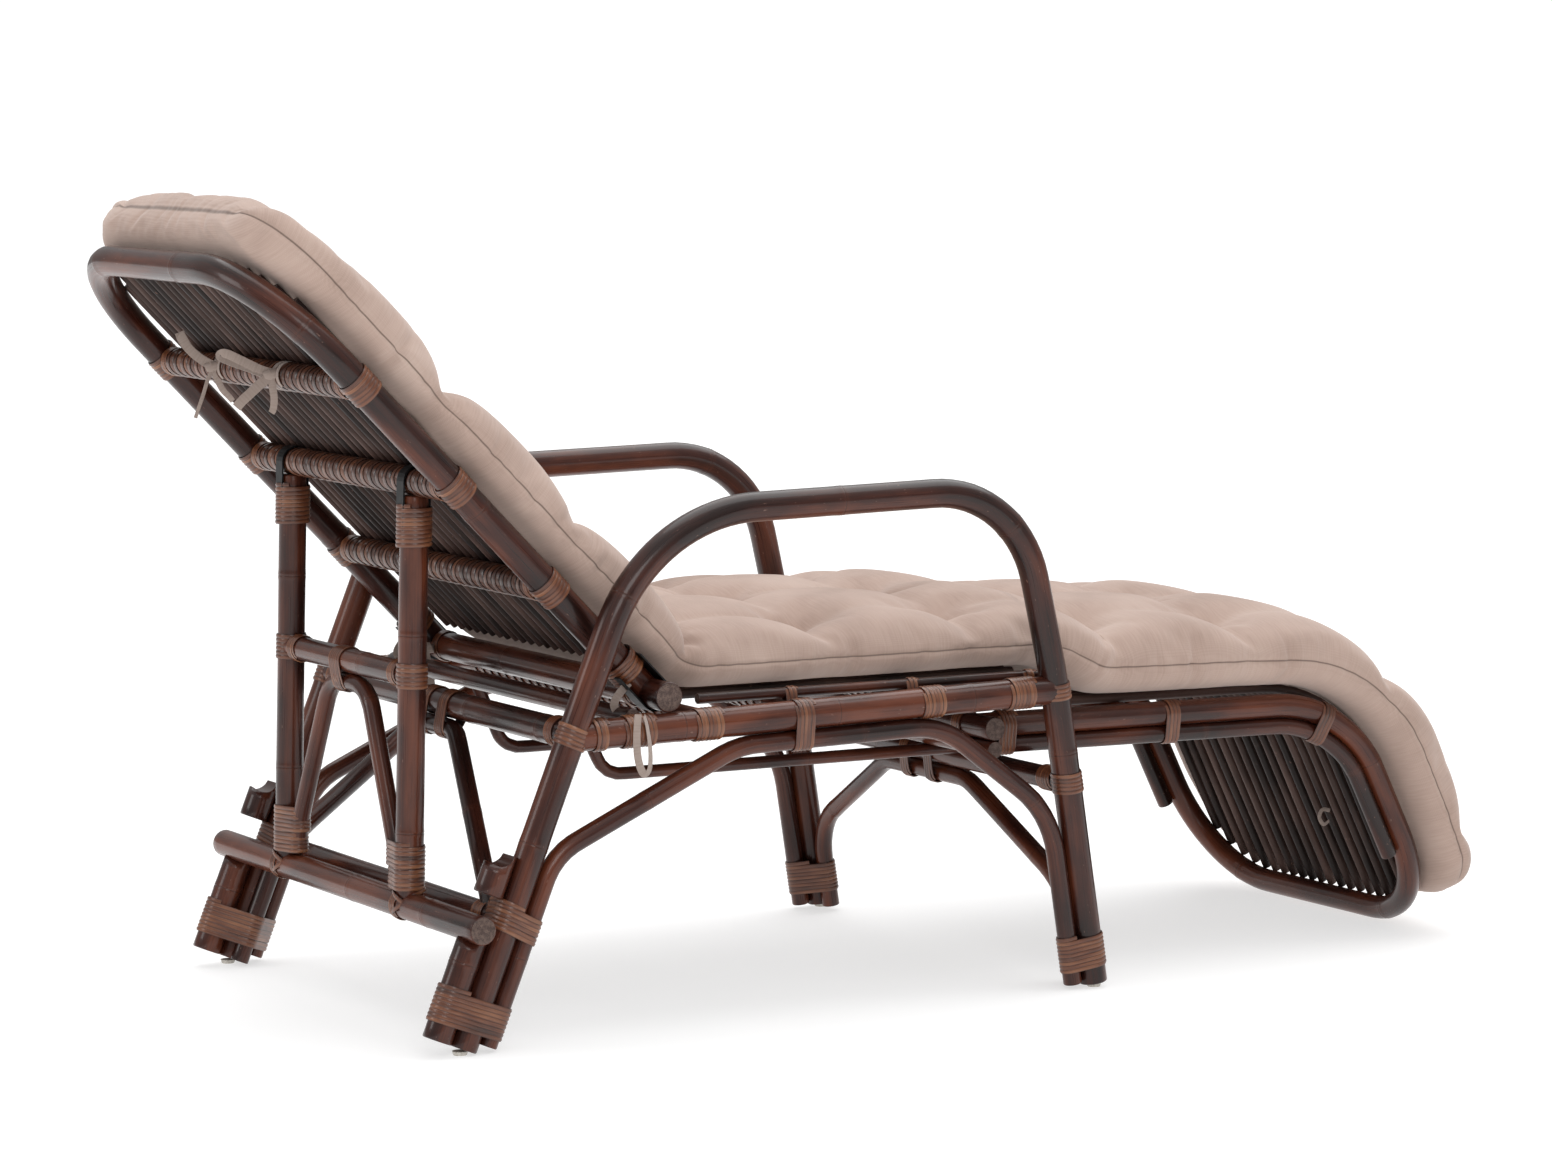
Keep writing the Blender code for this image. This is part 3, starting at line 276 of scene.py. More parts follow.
def bent(corners: list[Vector], bends: tuple[float, ...], step: float = math.radians(4)) -> list[Vector]:
    """Rounds the inner corners of a polyline with arcs.

    Args:
        corners: The polyline.
        bends: One radius for each inner corner.
        step: Longest turn between two points of an arc.

    Returns:
        The rounded line's points.
    """
    path = [corners[0].copy()]
    for before, corner, after, radius in zip(corners, corners[1:], corners[2:], bends):
        back = (before - corner).normalized()
        ahead = (after - corner).normalized()
        turn = math.pi - back.angle(ahead)
        tangent = radius * math.tan(turn / 2)
        centre = corner + (back + ahead).normalized() * (radius / math.cos(turn / 2))
        start = corner + back * tangent - centre
        axis = start.cross(corner + ahead * tangent - centre).normalized()
        steps = max(3, math.ceil(turn / step))
        path += [centre + Matrix.Rotation(turn * i / steps, 3, axis) @ start for i in range(steps + 1)]
    path.append(corners[-1].copy())
    return path


class Way:
    """A polyline that can be asked for its point and direction at a distance along it."""

    def __init__(self, points: list[Vector]) -> None:
        """Measures the polyline."""
        self.points = np.array([tuple(p) for p in points], float)
        steps = np.linalg.norm(np.diff(self.points, axis=0), axis=1)
        self.marks = np.concatenate([[0.0], np.cumsum(steps)])
        self.length = float(self.marks[-1])

    def at(self, distance: float) -> Vector:
        """Point at a distance along the way."""
        return Vector([float(np.interp(distance, self.marks, self.points[:, k])) for k in range(3)])

    def heading(self, distance: float, span: float = 0.004) -> Vector:
        """Unit direction at a distance along the way."""
        low, high = max(0.0, distance - span), min(self.length, distance + span)
        return (self.at(high) - self.at(low)).normalized()


def eased_line(points: list[Vector], per: int = 8) -> list[Vector]:
    """A smooth line through points, Catmull-Rom style.

    Args:
        points: Points that the line passes through.
        per: Pieces between two of them.

    Returns:
        The line's points.
    """
    ends = [points[0] * 2 - points[1], *points, points[-1] * 2 - points[-2]]
    line = []
    for a, b, c, d in zip(ends, ends[1:], ends[2:], ends[3:]):
        for i in range(per):
            t = i / per
            line.append(0.5 * (2 * b + (c - a) * t + (2 * a - 5 * b + 4 * c - d) * t * t
                               + (3 * b - a - 3 * c + d) * t ** 3))
    line.append(points[-1].copy())
    return line


# Finishes


def linear(hex_colour: str) -> tuple[float, float, float, float]:
    """Turns an sRGB hex colour to linear RGBA."""
    parts = [int(hex_colour[i:i + 2], 16) / 255 for i in (1, 3, 5)]
    return (*[c / 12.92 if c <= 0.04045 else ((c + 0.055) / 1.055) ** 2.4 for c in parts], 1.0)


def add_node(tree: bpy.types.NodeTree, kind: str, inputs: dict | None = None, props: dict | None = None,
             stops: list[tuple[float, str]] | None = None) -> bpy.types.Node:
    """Adds one node with its settings and links.

    Args:
        tree: The material's tree.
        kind: The node's Blender type, without "ShaderNode".
        inputs: Socket name or number to value, or to the output that feeds it.
        props: The node's own settings.
        stops: A colour ramp's places and sRGB colours.

    Returns:
        The new node.
    """
    node = tree.nodes.new("ShaderNode" + kind)
    for key, value in (props or {}).items():
        setattr(node, key, value)
    if stops:
        while len(node.color_ramp.elements) < len(stops):
            node.color_ramp.elements.new(0.5)
        for element, (place, colour) in zip(node.color_ramp.elements, stops):
            element.position = place
            element.color = linear(colour)
    for key, value in (inputs or {}).items():
        socket = node.inputs[key]
        if isinstance(value, bpy.types.NodeSocket):
            tree.links.new(value, socket)
        else:
            socket.default_value = value
    return node


def new_tree(name: str) -> tuple[bpy.types.Material, bpy.types.NodeTree, bpy.types.Node]:
    """A new material, its tree and its cleared shader."""
    material = bpy.data.materials.new(name)
    material.use_nodes = True
    return material, material.node_tree, material.node_tree.nodes["Principled BSDF"]


@dataclass(frozen=True)
class RattanPole:
    """Stained and lacquered rattan pole: fibres run along it, with a joint ring every hand or two."""

    name: str
    dark: str
    mid: str
    light: str
    roughness: float
    coat: float
    fibre: float = 0.0011  # width of a fibre streak, drawn about twice as coarse as it is

    def build(self) -> bpy.types.Material:
        """Makes the material, which reads the straightened place that each pole stores."""
        material, tree, shader = new_tree(self.name)
        grain = add_node(tree, "Attribute", props={"attribute_name": "grain"}).outputs["Vector"]
        tone = add_node(tree, "Attribute", props={"attribute_name": "tone"}).outputs["Fac"]
        ring = add_node(tree, "Attribute", props={"attribute_name": "ring"}).outputs["Fac"]
        across = 0.5 / self.fibre
        streak_at = add_node(tree, "Mapping", {"Vector": grain, "Scale": (9.0, across, across)})
        streak = add_node(tree, "TexNoise", {"Vector": streak_at.outputs[0], "Scale": 1.0, "Detail": 5.0,
                                             "Roughness": 0.62}).outputs[0]
        cloud_at = add_node(tree, "Mapping", {"Vector": grain, "Scale": (7.0, 34.0, 34.0)})
        cloud = add_node(tree, "TexNoise", {"Vector": cloud_at.outputs[0], "Scale": 1.0,
                                            "Detail": 3.0}).outputs[0]
        mixed = add_node(tree, "Math", {0: streak, 1: 0.20, 2: tone}, {"operation": "MULTIPLY_ADD"})
        mixed = add_node(tree, "Math", {0: cloud, 1: 0.65, 2: mixed.outputs[0]},
                         {"operation": "MULTIPLY_ADD"})
        stain = add_node(tree, "ValToRGB", {0: mixed.outputs[0]},
                         stops=[(0.31, self.dark), (0.43, self.mid), (0.60, self.light)])
        # A joint ring is a dark hairline with a paler, rubbed band beside it.
        line = add_node(tree, "MapRange", {0: ring, 1: 0.0, 2: 0.0011, 3: 0.75, 4: 0.0})
        inked = add_node(tree, "Mix", {0: line.outputs[0], 6: stain.outputs[0], 7: linear(self.dark)},
                         {"data_type": "RGBA"})
        band = add_node(tree, "MapRange", {0: ring, 1: 0.001, 2: 0.007, 3: 0.30, 4: 0.0})
        rubbed = add_node(tree, "Math", {0: band.outputs[0], 1: cloud}, {"operation": "MULTIPLY"})
        warmed = add_node(tree, "Mix", {0: rubbed.outputs[0], 6: inked.outputs[2], 7: linear(self.light)},
                          {"data_type": "RGBA"})
        # Nicks: small worn flecks in the lacquer, longer along the fibres.
        nick_at = add_node(tree, "Mapping", {"Vector": grain, "Scale": (130.0, 420.0, 420.0)})
        nick = add_node(tree, "TexNoise", {"Vector": nick_at.outputs[0], "Scale": 1.0,
                                           "Detail": 1.0}).outputs[0]
        fleck = add_node(tree, "MapRange", {0: nick, 1: 0.74, 2: 0.80, 3: 0.0, 4: 0.5}).outputs[0]
        worn = add_node(tree, "Mix", {0: fleck, 6: warmed.outputs[2], 7: linear("#8d6a5c")},
                        {"data_type": "RGBA"})
        rough = add_node(tree, "MapRange", {0: streak, 1: 0.3, 2: 0.7, 3: self.roughness - 0.06,
                                            4: self.roughness + 0.10})
        bump = add_node(tree, "Bump", {"Height": mixed.outputs[0], "Strength": 0.16, "Distance": 0.0012})
        pits = add_node(tree, "Bump", {"Height": fleck, "Strength": 0.35, "Distance": 0.0004,
                                       "Normal": bump.outputs[0]}, {"invert": True})
        tree.links.new(worn.outputs[2], shader.inputs["Base Color"])
        tree.links.new(rough.outputs[0], shader.inputs["Roughness"])
        tree.links.new(pits.outputs[0], shader.inputs["Normal"])
        shader.inputs["Coat Weight"].default_value = self.coat
        shader.inputs["Coat Roughness"].default_value = 0.10
        shader.inputs["Specular IOR Level"].default_value = 0.28
        return material


@dataclass(frozen=True)
class CanePeel:
    """Split cane peel: a flat, slightly domed strand with a hard skin, paler than the poles; its edges are
    darkened with painted shade that stands for the gaps between turns.
    """

    name: str
    dark: str
    mid: str
    light: str
    roughness: float = 0.42

    def build(self) -> bpy.types.Material:
        """Makes the material, which reads the strand's own length and width."""
        material, tree, shader = new_tree(self.name)
        grain = add_node(tree, "Attribute", props={"attribute_name": "grain"}).outputs["Vector"]
        tone = add_node(tree, "Attribute", props={"attribute_name": "tone"}).outputs["Fac"]
        edge = add_node(tree, "Attribute", props={"attribute_name": "ring"}).outputs["Fac"]
        fibre_at = add_node(tree, "Mapping", {"Vector": grain, "Scale": (18.0, 1100.0, 1.0)})
        fibre = add_node(tree, "TexNoise", {"Vector": fibre_at.outputs[0], "Scale": 1.0,
                                            "Detail": 4.0}).outputs[0]
        patch_at = add_node(tree, "Mapping", {"Vector": grain, "Scale": (16.0, 60.0, 1.0)})
        patch = add_node(tree, "TexNoise", {"Vector": patch_at.outputs[0], "Scale": 1.0,
                                            "Detail": 2.0}).outputs[0]
        mixed = add_node(tree, "Math", {0: fibre, 1: 0.45, 2: tone}, {"operation": "MULTIPLY_ADD"})
        mixed = add_node(tree, "Math", {0: patch, 1: 0.70, 2: mixed.outputs[0]},
                         {"operation": "MULTIPLY_ADD"})
        peel = add_node(tree, "ValToRGB", {0: mixed.outputs[0]},
                        stops=[(0.38, self.dark), (0.57, self.mid), (0.82, self.light)])
        # Painted shade: the strand's colour darkens towards both edges, where the gaps between neighbouring
        # turns fall into shade.
        painted_gap_shade = add_node(tree, "MapRange", {0: edge, 1: 0.55, 2: 1.0, 3: 0.0, 4: 0.80})
        colour = add_node(tree, "Mix", {0: painted_gap_shade.outputs[0], 6: peel.outputs[0], 7: linear(self.dark)},
                          {"data_type": "RGBA"})
        bump = add_node(tree, "Bump", {"Height": fibre, "Strength": 0.30, "Distance": 0.0005})
        tree.links.new(colour.outputs[2], shader.inputs["Base Color"])
        tree.links.new(bump.outputs[0], shader.inputs["Normal"])
        shader.inputs["Roughness"].default_value = self.roughness
        shader.inputs["Coat Weight"].default_value = 0.26
        shader.inputs["Coat Roughness"].default_value = 0.18
        return material


@dataclass(frozen=True)
class CutRattan:
    """Sawn end of a rattan pole: open pores in a grey-brown, stained pith."""

    name: str = "sawn rattan end grain"
    base: str = "#46342e"
    pale: str = "#67534a"
    pore: str = "#2b1a16"
    pore_spacing: float = 0.0016  # real pores are about 0.5 mm apart and would not show

    def build(self) -> bpy.types.Material:
        """Makes the material."""
        material, tree, shader = new_tree(self.name)
        place = add_node(tree, "TexCoord").outputs["Object"]
        pores = add_node(tree, "TexVoronoi", {"Vector": place,
                                              "Scale": 1 / self.pore_spacing}).outputs["Distance"]
        cloud = add_node(tree, "TexNoise", {"Vector": place, "Scale": 180.0, "Detail": 3.0}).outputs[0]
        pith = add_node(tree, "ValToRGB", {0: cloud}, stops=[(0.35, self.base), (0.65, self.pale)])
        hole = add_node(tree, "MapRange", {0: pores, 1: 0.18, 2: 0.42, 3: 0.9, 4: 0.0}).outputs[0]
        colour = add_node(tree, "Mix", {0: hole, 6: pith.outputs[0], 7: linear(self.pore)},
                          {"data_type": "RGBA"})
        bump = add_node(tree, "Bump", {"Height": hole, "Strength": 0.5, "Distance": 0.0005}, {"invert": True})
        tree.links.new(colour.outputs[2], shader.inputs["Base Color"])
        tree.links.new(bump.outputs[0], shader.inputs["Normal"])
        shader.inputs["Roughness"].default_value = 0.62
        return material


@dataclass(frozen=True)
class WovenCotton:
    """Plain-woven cotton canvas: matt, faintly slubbed, with a soft sheen at grazing light."""

    name: str
    shade: str
    base: str
    lit: str
    thread: float = 0.0016  # real threads are 0.4 mm apart, drawn coarser so that the weave shows
    seam_width: float = 0.0014
    thread_colour: str = "#6f5e55"

    def build(self) -> bpy.types.Material:
        """Makes the material, which reads the cloth's own width and length."""
        material, tree, shader = new_tree(self.name)
        weave = add_node(tree, "Attribute", props={"attribute_name": "weave"}).outputs["Vector"]
        scale = 0.314 / self.thread
        warp = add_node(tree, "TexWave", {"Vector": weave, "Scale": scale, "Distortion": 0.6, "Detail": 1.0},
                        {"bands_direction": "X"}).outputs["Fac"]
        weft = add_node(tree, "TexWave", {"Vector": weave, "Scale": scale, "Distortion": 0.6, "Detail": 1.0},
                        {"bands_direction": "Y"}).outputs["Fac"]
        cross = add_node(tree, "Math", {0: warp, 1: weft}, {"operation": "MULTIPLY"}).outputs[0]
        slub_at = add_node(tree, "Mapping", {"Vector": weave, "Scale": (30.0, 420.0, 1.0)})
        slub = add_node(tree, "TexNoise", {"Vector": slub_at.outputs[0], "Scale": 1.0,
                                           "Detail": 3.0}).outputs[0]
        fade = add_node(tree, "TexNoise", {"Vector": weave, "Scale": 7.0, "Detail": 3.0}).outputs[0]
        mixed = add_node(tree, "Math", {0: slub, 1: 0.35, 2: fade}, {"operation": "MULTIPLY_ADD"})
        mixed = add_node(tree, "Math", {0: cross, 1: 0.12, 2: mixed.outputs[0]},
                         {"operation": "MULTIPLY_ADD"})
        colour = add_node(tree, "ValToRGB", {0: mixed.outputs[0]},
                          stops=[(0.45, self.shade), (0.70, self.base), (1.0, self.lit)])
        seam = add_node(tree, "Attribute", props={"attribute_name": "seam"}).outputs["Fac"]
        stitch = add_node(tree, "MapRange", {0: seam, 1: 0.0004, 2: self.seam_width, 3: 0.85, 4: 0.0})
        sewn = add_node(tree, "Mix", {0: stitch.outputs[0], 6: colour.outputs[0],
                                      7: linear(self.thread_colour)},
                        {"data_type": "RGBA"})
        bump = add_node(tree, "Bump", {"Height": cross, "Strength": 0.22, "Distance": 0.0005})
        soft = add_node(tree, "Bump", {"Height": slub, "Strength": 0.12, "Distance": 0.001,
                                       "Normal": bump.outputs[0]})
        tree.links.new(sewn.outputs[2], shader.inputs["Base Color"])
        tree.links.new(soft.outputs[0], shader.inputs["Normal"])
        shader.inputs["Roughness"].default_value = 0.92
        shader.inputs["Sheen Weight"].default_value = 0.22
        shader.inputs["Sheen Roughness"].default_value = 0.5
        shader.inputs["Specular IOR Level"].default_value = 0.25
        return material


@dataclass(frozen=True)
class PaintedSteel:
    """Black-painted strip steel: smooth paint with a faint orange peel."""

    name: str = "black painted strip steel"
    colour: str = "#0c0d0e"
    rubbed: str = "#2a2c2f"

    def build(self) -> bpy.types.Material:
        """Makes the material."""
        material, tree, shader = new_tree(self.name)
        place = add_node(tree, "TexCoord").outputs["Object"]
        wear = add_node(tree, "TexNoise", {"Vector": place, "Scale": 90.0, "Detail": 4.0}).outputs[0]
        paint = add_node(tree, "ValToRGB", {0: wear}, stops=[(0.50, self.colour), (0.78, self.rubbed)])
        peel = add_node(tree, "TexNoise", {"Vector": place, "Scale": 700.0}).outputs[0]
        bump = add_node(tree, "Bump", {"Height": peel, "Strength": 0.15, "Distance": 0.0003})
        tree.links.new(paint.outputs[0], shader.inputs["Base Color"])
        tree.links.new(bump.outputs[0], shader.inputs["Normal"])
        shader.inputs["Roughness"].default_value = 0.42
        shader.inputs["Specular IOR Level"].default_value = 0.25
        return material


@dataclass(frozen=True)
class MouldedPlastic:
    """Moulded polythene: pale, slightly translucent and scuffed underneath."""

    name: str = "moulded pale polythene"
    colour: str = "#cdc8bf"
    scuff: str = "#a39d93"

    def build(self) -> bpy.types.Material:
        """Makes the material."""
        material, tree, shader = new_tree(self.name)
        place = add_node(tree, "TexCoord").outputs["Object"]
        scuffs = add_node(tree, "TexNoise", {"Vector": place, "Scale": 240.0, "Detail": 3.0}).outputs[0]
        skin = add_node(tree, "ValToRGB", {0: scuffs}, stops=[(0.45, self.colour), (0.75, self.scuff)])
        bump = add_node(tree, "Bump", {"Height": scuffs, "Strength": 0.2, "Distance": 0.0004})
        tree.links.new(skin.outputs[0], shader.inputs["Base Color"])
        tree.links.new(bump.outputs[0], shader.inputs["Normal"])
        shader.inputs["Roughness"].default_value = 0.48
        return material


class Finish(Enum):
    """Finishes of the lounger's pieces, and the record's slot that each belongs to."""

    # Dark, glossy poles: sharp highlights over faint fibres and joint rings.
    POLE = ("cane", RattanPole("lacquered rattan pole", "#1e0c08", "#3a1910", "#65331f", 0.30, 0.30))
    # The same cane, only oiled, so the slats read matt and greyer.
    SLAT = ("slats", RattanPole("oiled rattan slat", "#1f1411", "#3c2a24", "#5d4740", 0.52, 0.04, 0.0008))
    # Lighter, warmer turns that stand out from the poles.
    PEEL = ("binding", CanePeel("split cane peel", "#32180e", "#663821", "#92603f", 0.38))
    # Darker turns for the herringbone winding of the bars.
    DARK_PEEL = ("binding", CanePeel("stained cane peel", "#22110b", "#553020", "#87583f", 0.32))
    # Matt, porous discs, which show that the poles are sawn.
    END = ("cane", CutRattan())
    # Soft matt taupe with a faint weave and a thin stitched seam.
    CLOTH = ("cloth", WovenCotton("woven taupe cotton", "#a18a7e", "#b39b8f", "#c1ab9f"))
    # A greyer, tighter weave for bows and loops.
    TAPE = ("cloth", WovenCotton("woven cotton tape", "#8a7a71", "#a3938a", "#b8a9a1", 0.0012))
    # Near black, so that straps and hooks stand off the cane.
    STEEL = ("black_metal", PaintedSteel())
    # A pale edge under each foot.
    GLIDE = ("glide", MouldedPlastic())


# Materials made so far
MADE: dict[Finish, bpy.types.Material] = {}


def finish_of(finish: Finish) -> bpy.types.Material:
    """The finish's material, made on first use."""
    if finish not in MADE:
        MADE[finish] = finish.value[1].build()
    return MADE[finish]


# Working by hand


def fresh_start() -> None:
    """Deselects everything, so that the next operator acts on its own piece only."""
    if bpy.context.object and bpy.context.object.mode != "OBJECT":
        bpy.ops.object.mode_set(mode="OBJECT")
    bpy.ops.object.select_all(action="DESELECT")


def pick(*objs: bpy.types.Object) -> None:
    """Selects these objects, the first as the active one."""
    fresh_start()
    for obj in objs:
        obj.select_set(True)
    bpy.context.view_layer.objects.active = objs[0]


def apply_modifiers(obj: bpy.types.Object) -> None:
    """Applies the object's modifiers in order."""
    pick(obj)
    for modifier in list(obj.modifiers):
        bpy.ops.object.modifier_apply(modifier=modifier.name)


def join(name: str, pieces: list[bpy.types.Object]) -> bpy.types.Object:
    """Joins pieces of one body and finish into one object."""
    pick(*pieces)
    if len(pieces) > 1:
        bpy.ops.object.join()
    pieces[0].name = name
    pieces[0].data.name = name
    return pieces[0]


def store(mesh: bpy.types.Mesh, name: str, kind: str, values: np.ndarray) -> None:
    """Stores a value at each point of a mesh.

    Args:
        mesh: The mesh.
        name: The attribute's name.
        kind: "FLOAT" or "FLOAT_VECTOR".
        values: One row for each point.
    """
    attribute = mesh.attributes.get(name) or mesh.attributes.new(name, kind, "POINT")
    attribute.data.foreach_set("vector" if kind == "FLOAT_VECTOR" else "value",
                               np.asarray(values, np.float32).ravel())


def dress(obj: bpy.types.Object, name: str, body: str, *finishes: Finish) -> bpy.types.Object:
    """Names a finished piece, gives it its finishes and lets it ride on a body.

    Args:
        obj: The finished mesh.
        name: Its name in the table of pieces.
        body: The CAD body that it moves with.
        finishes: Its finishes, in the order of its material slots.

    Returns:
        The same object.
    """
    obj.name = name
    obj.data.name = name
    slots = np.zeros(len(obj.data.polygons), np.int32)
    obj.data.polygons.foreach_get("material_index", slots)
    obj.data.materials.clear()  # this also forgets which faces are sawn ends
    for finish in finishes:
        obj.data.materials.append(finish_of(finish))
    obj.data.polygons.foreach_set("material_index", np.minimum(slots, len(finishes) - 1))
    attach(obj, body)
    LOG.info("%s: %d faces, on %s", name, len(obj.data.polygons), body)
    return obj


def sweep(runs: list[list[tuple[Vector, float]]], resolution: int) -> tuple[bpy.types.Object, int]:
    """Sweeps round poles through stations, with open ends.

    Args:
        runs: For each pole its stations, as a point and a radius.
        resolution: The curve's bevel resolution.

    Returns:
        The mesh object, whose points follow the stations ring by ring, and the points in a ring.
    """
    fresh_start()
    bpy.ops.curve.primitive_nurbs_path_add()
    curve = bpy.context.object
    curve.location = (0.0, 0.0, 0.0)
    data = curve.data
    data.splines.clear()
    data.bevel_depth = 1.0
    data.bevel_resolution = resolution
    data.use_fill_caps = False
    for run in runs:
        spline = data.splines.new("POLY")
        spline.points.add(len(run) - 1)
        for point, (place, radius) in zip(spline.points, run):
            point.co = (*place, 1.0)
            point.radius = radius
    bpy.ops.object.convert(target="MESH")
    obj = bpy.context.object
    return obj, len(obj.data.vertices) // sum(len(run) for run in runs)


def close_ends(obj: bpy.types.Object) -> None:
    """Fills the open ends of swept poles, marks them as sawn and turns all faces outwards."""
    pick(obj)
    bpy.ops.object.mode_set(mode="EDIT")
    bpy.ops.mesh.select_all(action="SELECT")
    bpy.ops.mesh.fill_holes(sides=0)
    bpy.ops.mesh.select_all(action="SELECT")
    bpy.ops.mesh.normals_make_consistent(inside=False)
    bpy.ops.object.mode_set(mode="OBJECT")
    for face in obj.data.polygons:
        face.material_index = 1 if len(face.vertices) > 4 else 0
    bpy.ops.object.shade_smooth_by_angle(angle=math.radians(42))


# Poles


# Sections beside a joint ring, close enough to show its groove
RING_STEPS = (-0.009, -0.004, -0.0016, -0.0008, 0.0, 0.0008, 0.0016, 0.004, 0.009)

@dataclass
class Pole:
    """One rattan pole: chamfered sawn ends, growth swell and joint rings."""

    name: str
    path: list[Vector]
    radius: float
    body: str
    replaces: tuple[str, ...] = ()
    seed: int = 0
    ring_every: float = 0.27
    resolution: int = 9
    tone: float = 0.0
    copes: tuple[tuple[Vector, Vector, float], ...] = ()

    def rings(self, length: float, rng: random.Random) -> list[float]:
        """Places of the joint rings along the pole."""
        places, here = [], self.ring_every * rng.uniform(0.25, 0.9)
        while here < length - 0.02:
            places.append(here)
            here += self.ring_every * rng.uniform(0.75, 1.25)
        return places

    def stations(self, way: Way, rings: list[float], rng: random.Random) -> tuple[list, np.ndarray]:
        """Chooses where the pole's sections lie.

        Args:
            way: The pole's axis.
            rings: Places of its joint rings.
            rng: The pole's own random numbers.

        Returns:
            The stations as (point, radius), and their distances along the pole.
        """
        chamfer = min(0.0016, self.radius * 0.12)
        marks = set(np.linspace(0.0, way.length, max(2, math.ceil(way.length / 0.013))).tolist())
        marks |= {chamfer * 0.4, chamfer, way.length - chamfer * 0.4, way.length - chamfer}
        for ring in rings:
            marks |= {ring + step for step in RING_STEPS}
        ordered = [0.0]
        for mark in sorted(marks):
            if mark - ordered[-1] > 0.0003 and mark < way.length - 0.0003:
                ordered.append(mark)
        ordered.append(way.length)
        phase = rng.uniform(0, 6.28)
        run = []
        for mark in ordered:
            near = min((abs(mark - ring) for ring in rings), default=1.0)
            swell = 1 + 0.007 * math.sin(mark / 0.052 + phase)
            swell += 0.026 * math.exp(-(near / 0.0045) ** 2) - 0.022 * math.exp(-(near / 0.0007) ** 2)
            end = min(mark, way.length - mark)
            if end < chamfer:
                swell *= 0.93 + 0.07 * math.sqrt(end / chamfer)
            run.append((way.at(mark), self.radius * swell))
        return run, np.array(ordered)

    def build(self) -> bpy.types.Object:
        """Models the pole and puts it in its node's place."""
        rng = random.Random(self.seed * 7919 + len(self.name))
        way = Way(self.path)
        rings = self.rings(way.length, rng)
        run, marks = self.stations(way, rings, rng)
        obj, sides = sweep([run], self.resolution)
        store_grain(obj.data, [(marks, rings, self.radius, rng.uniform(-0.07, 0.07) + self.tone)], sides)
        close_ends(obj)
        for start, end, radius in self.copes:
            cope(obj, start, end, radius)
        dress(obj, self.name, self.body, Finish.POLE, Finish.END)
        if self.replaces:
            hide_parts(*self.replaces)
        return obj


def store_grain(mesh: bpy.types.Mesh, runs: list[tuple[np.ndarray, list[float], float, float]],
                sides: int) -> None:
    """Stores each point's place on its straightened pole, for the fibres and joint rings.

    Args:
        mesh: Swept poles, ring by ring.
        runs: For each pole its stations' distances, joint rings, radius and tone.
        sides: Points in a ring.
    """
    grain, ring_gap, tones = [], [], []
    angles = 2 * math.pi * np.arange(sides) / sides
    for index, (marks, rings, radius, tone) in enumerate(runs):
        for mark in marks:
            near = min((abs(mark - ring) for ring in rings), default=0.05)
            for angle in angles:
                grain.append((mark + index * 3.7, radius * math.cos(angle), radius * math.sin(angle)))
                ring_gap.append(min(near, 0.05))
                tones.append(tone)
    store(mesh, "grain", "FLOAT_VECTOR", np.array(grain))
    store(mesh, "ring", "FLOAT", np.array(ring_gap))
    store(mesh, "tone", "FLOAT", np.array(tones))


def cope(obj: bpy.types.Object, start: Vector, end: Vector, radius: float) -> None:
    """Saws a round seat for another pole out of this one."""
    fresh_start()
    turn = Vector((0, 0, 1)).rotation_difference(end - start).to_euler()
    bpy.ops.mesh.primitive_cylinder_add(vertices=40, radius=radius, depth=(end - start).length,
                                        location=(start + end) / 2, rotation=turn)
    cutter = bpy.context.object
    saw = obj.modifiers.new("saw", "BOOLEAN")
    saw.operation = "DIFFERENCE"
    saw.solver = "EXACT"
    saw.object = cutter
    apply_modifiers(obj)
    bpy.data.objects.remove(cutter, do_unlink=True)


# Cane strands


class Lay(Enum):
    """Ways in which a strand is laid round its poles."""

    ROUND = "turn beside turn"
    SLANTED = "two rings that slant across each other"
    HERRINGBONE = "turns that bend to and fro in threes, so that they meet in a zigzag"


@dataclass(frozen=True)
class Strand:
    """A split cane strand's section."""

    width: float
    thick: float
    crown: float = 0.0005  # how far its middle stands up
    air: float = 0.0002  # between it and what it lies on


THIN = Strand(0.0049, 0.0013, 0.0009)
BAR_PEEL = Strand(0.0074, 0.0014, 0.0007)
PUFF = 0.0012  # half the height of a ridge of the herringbone winding


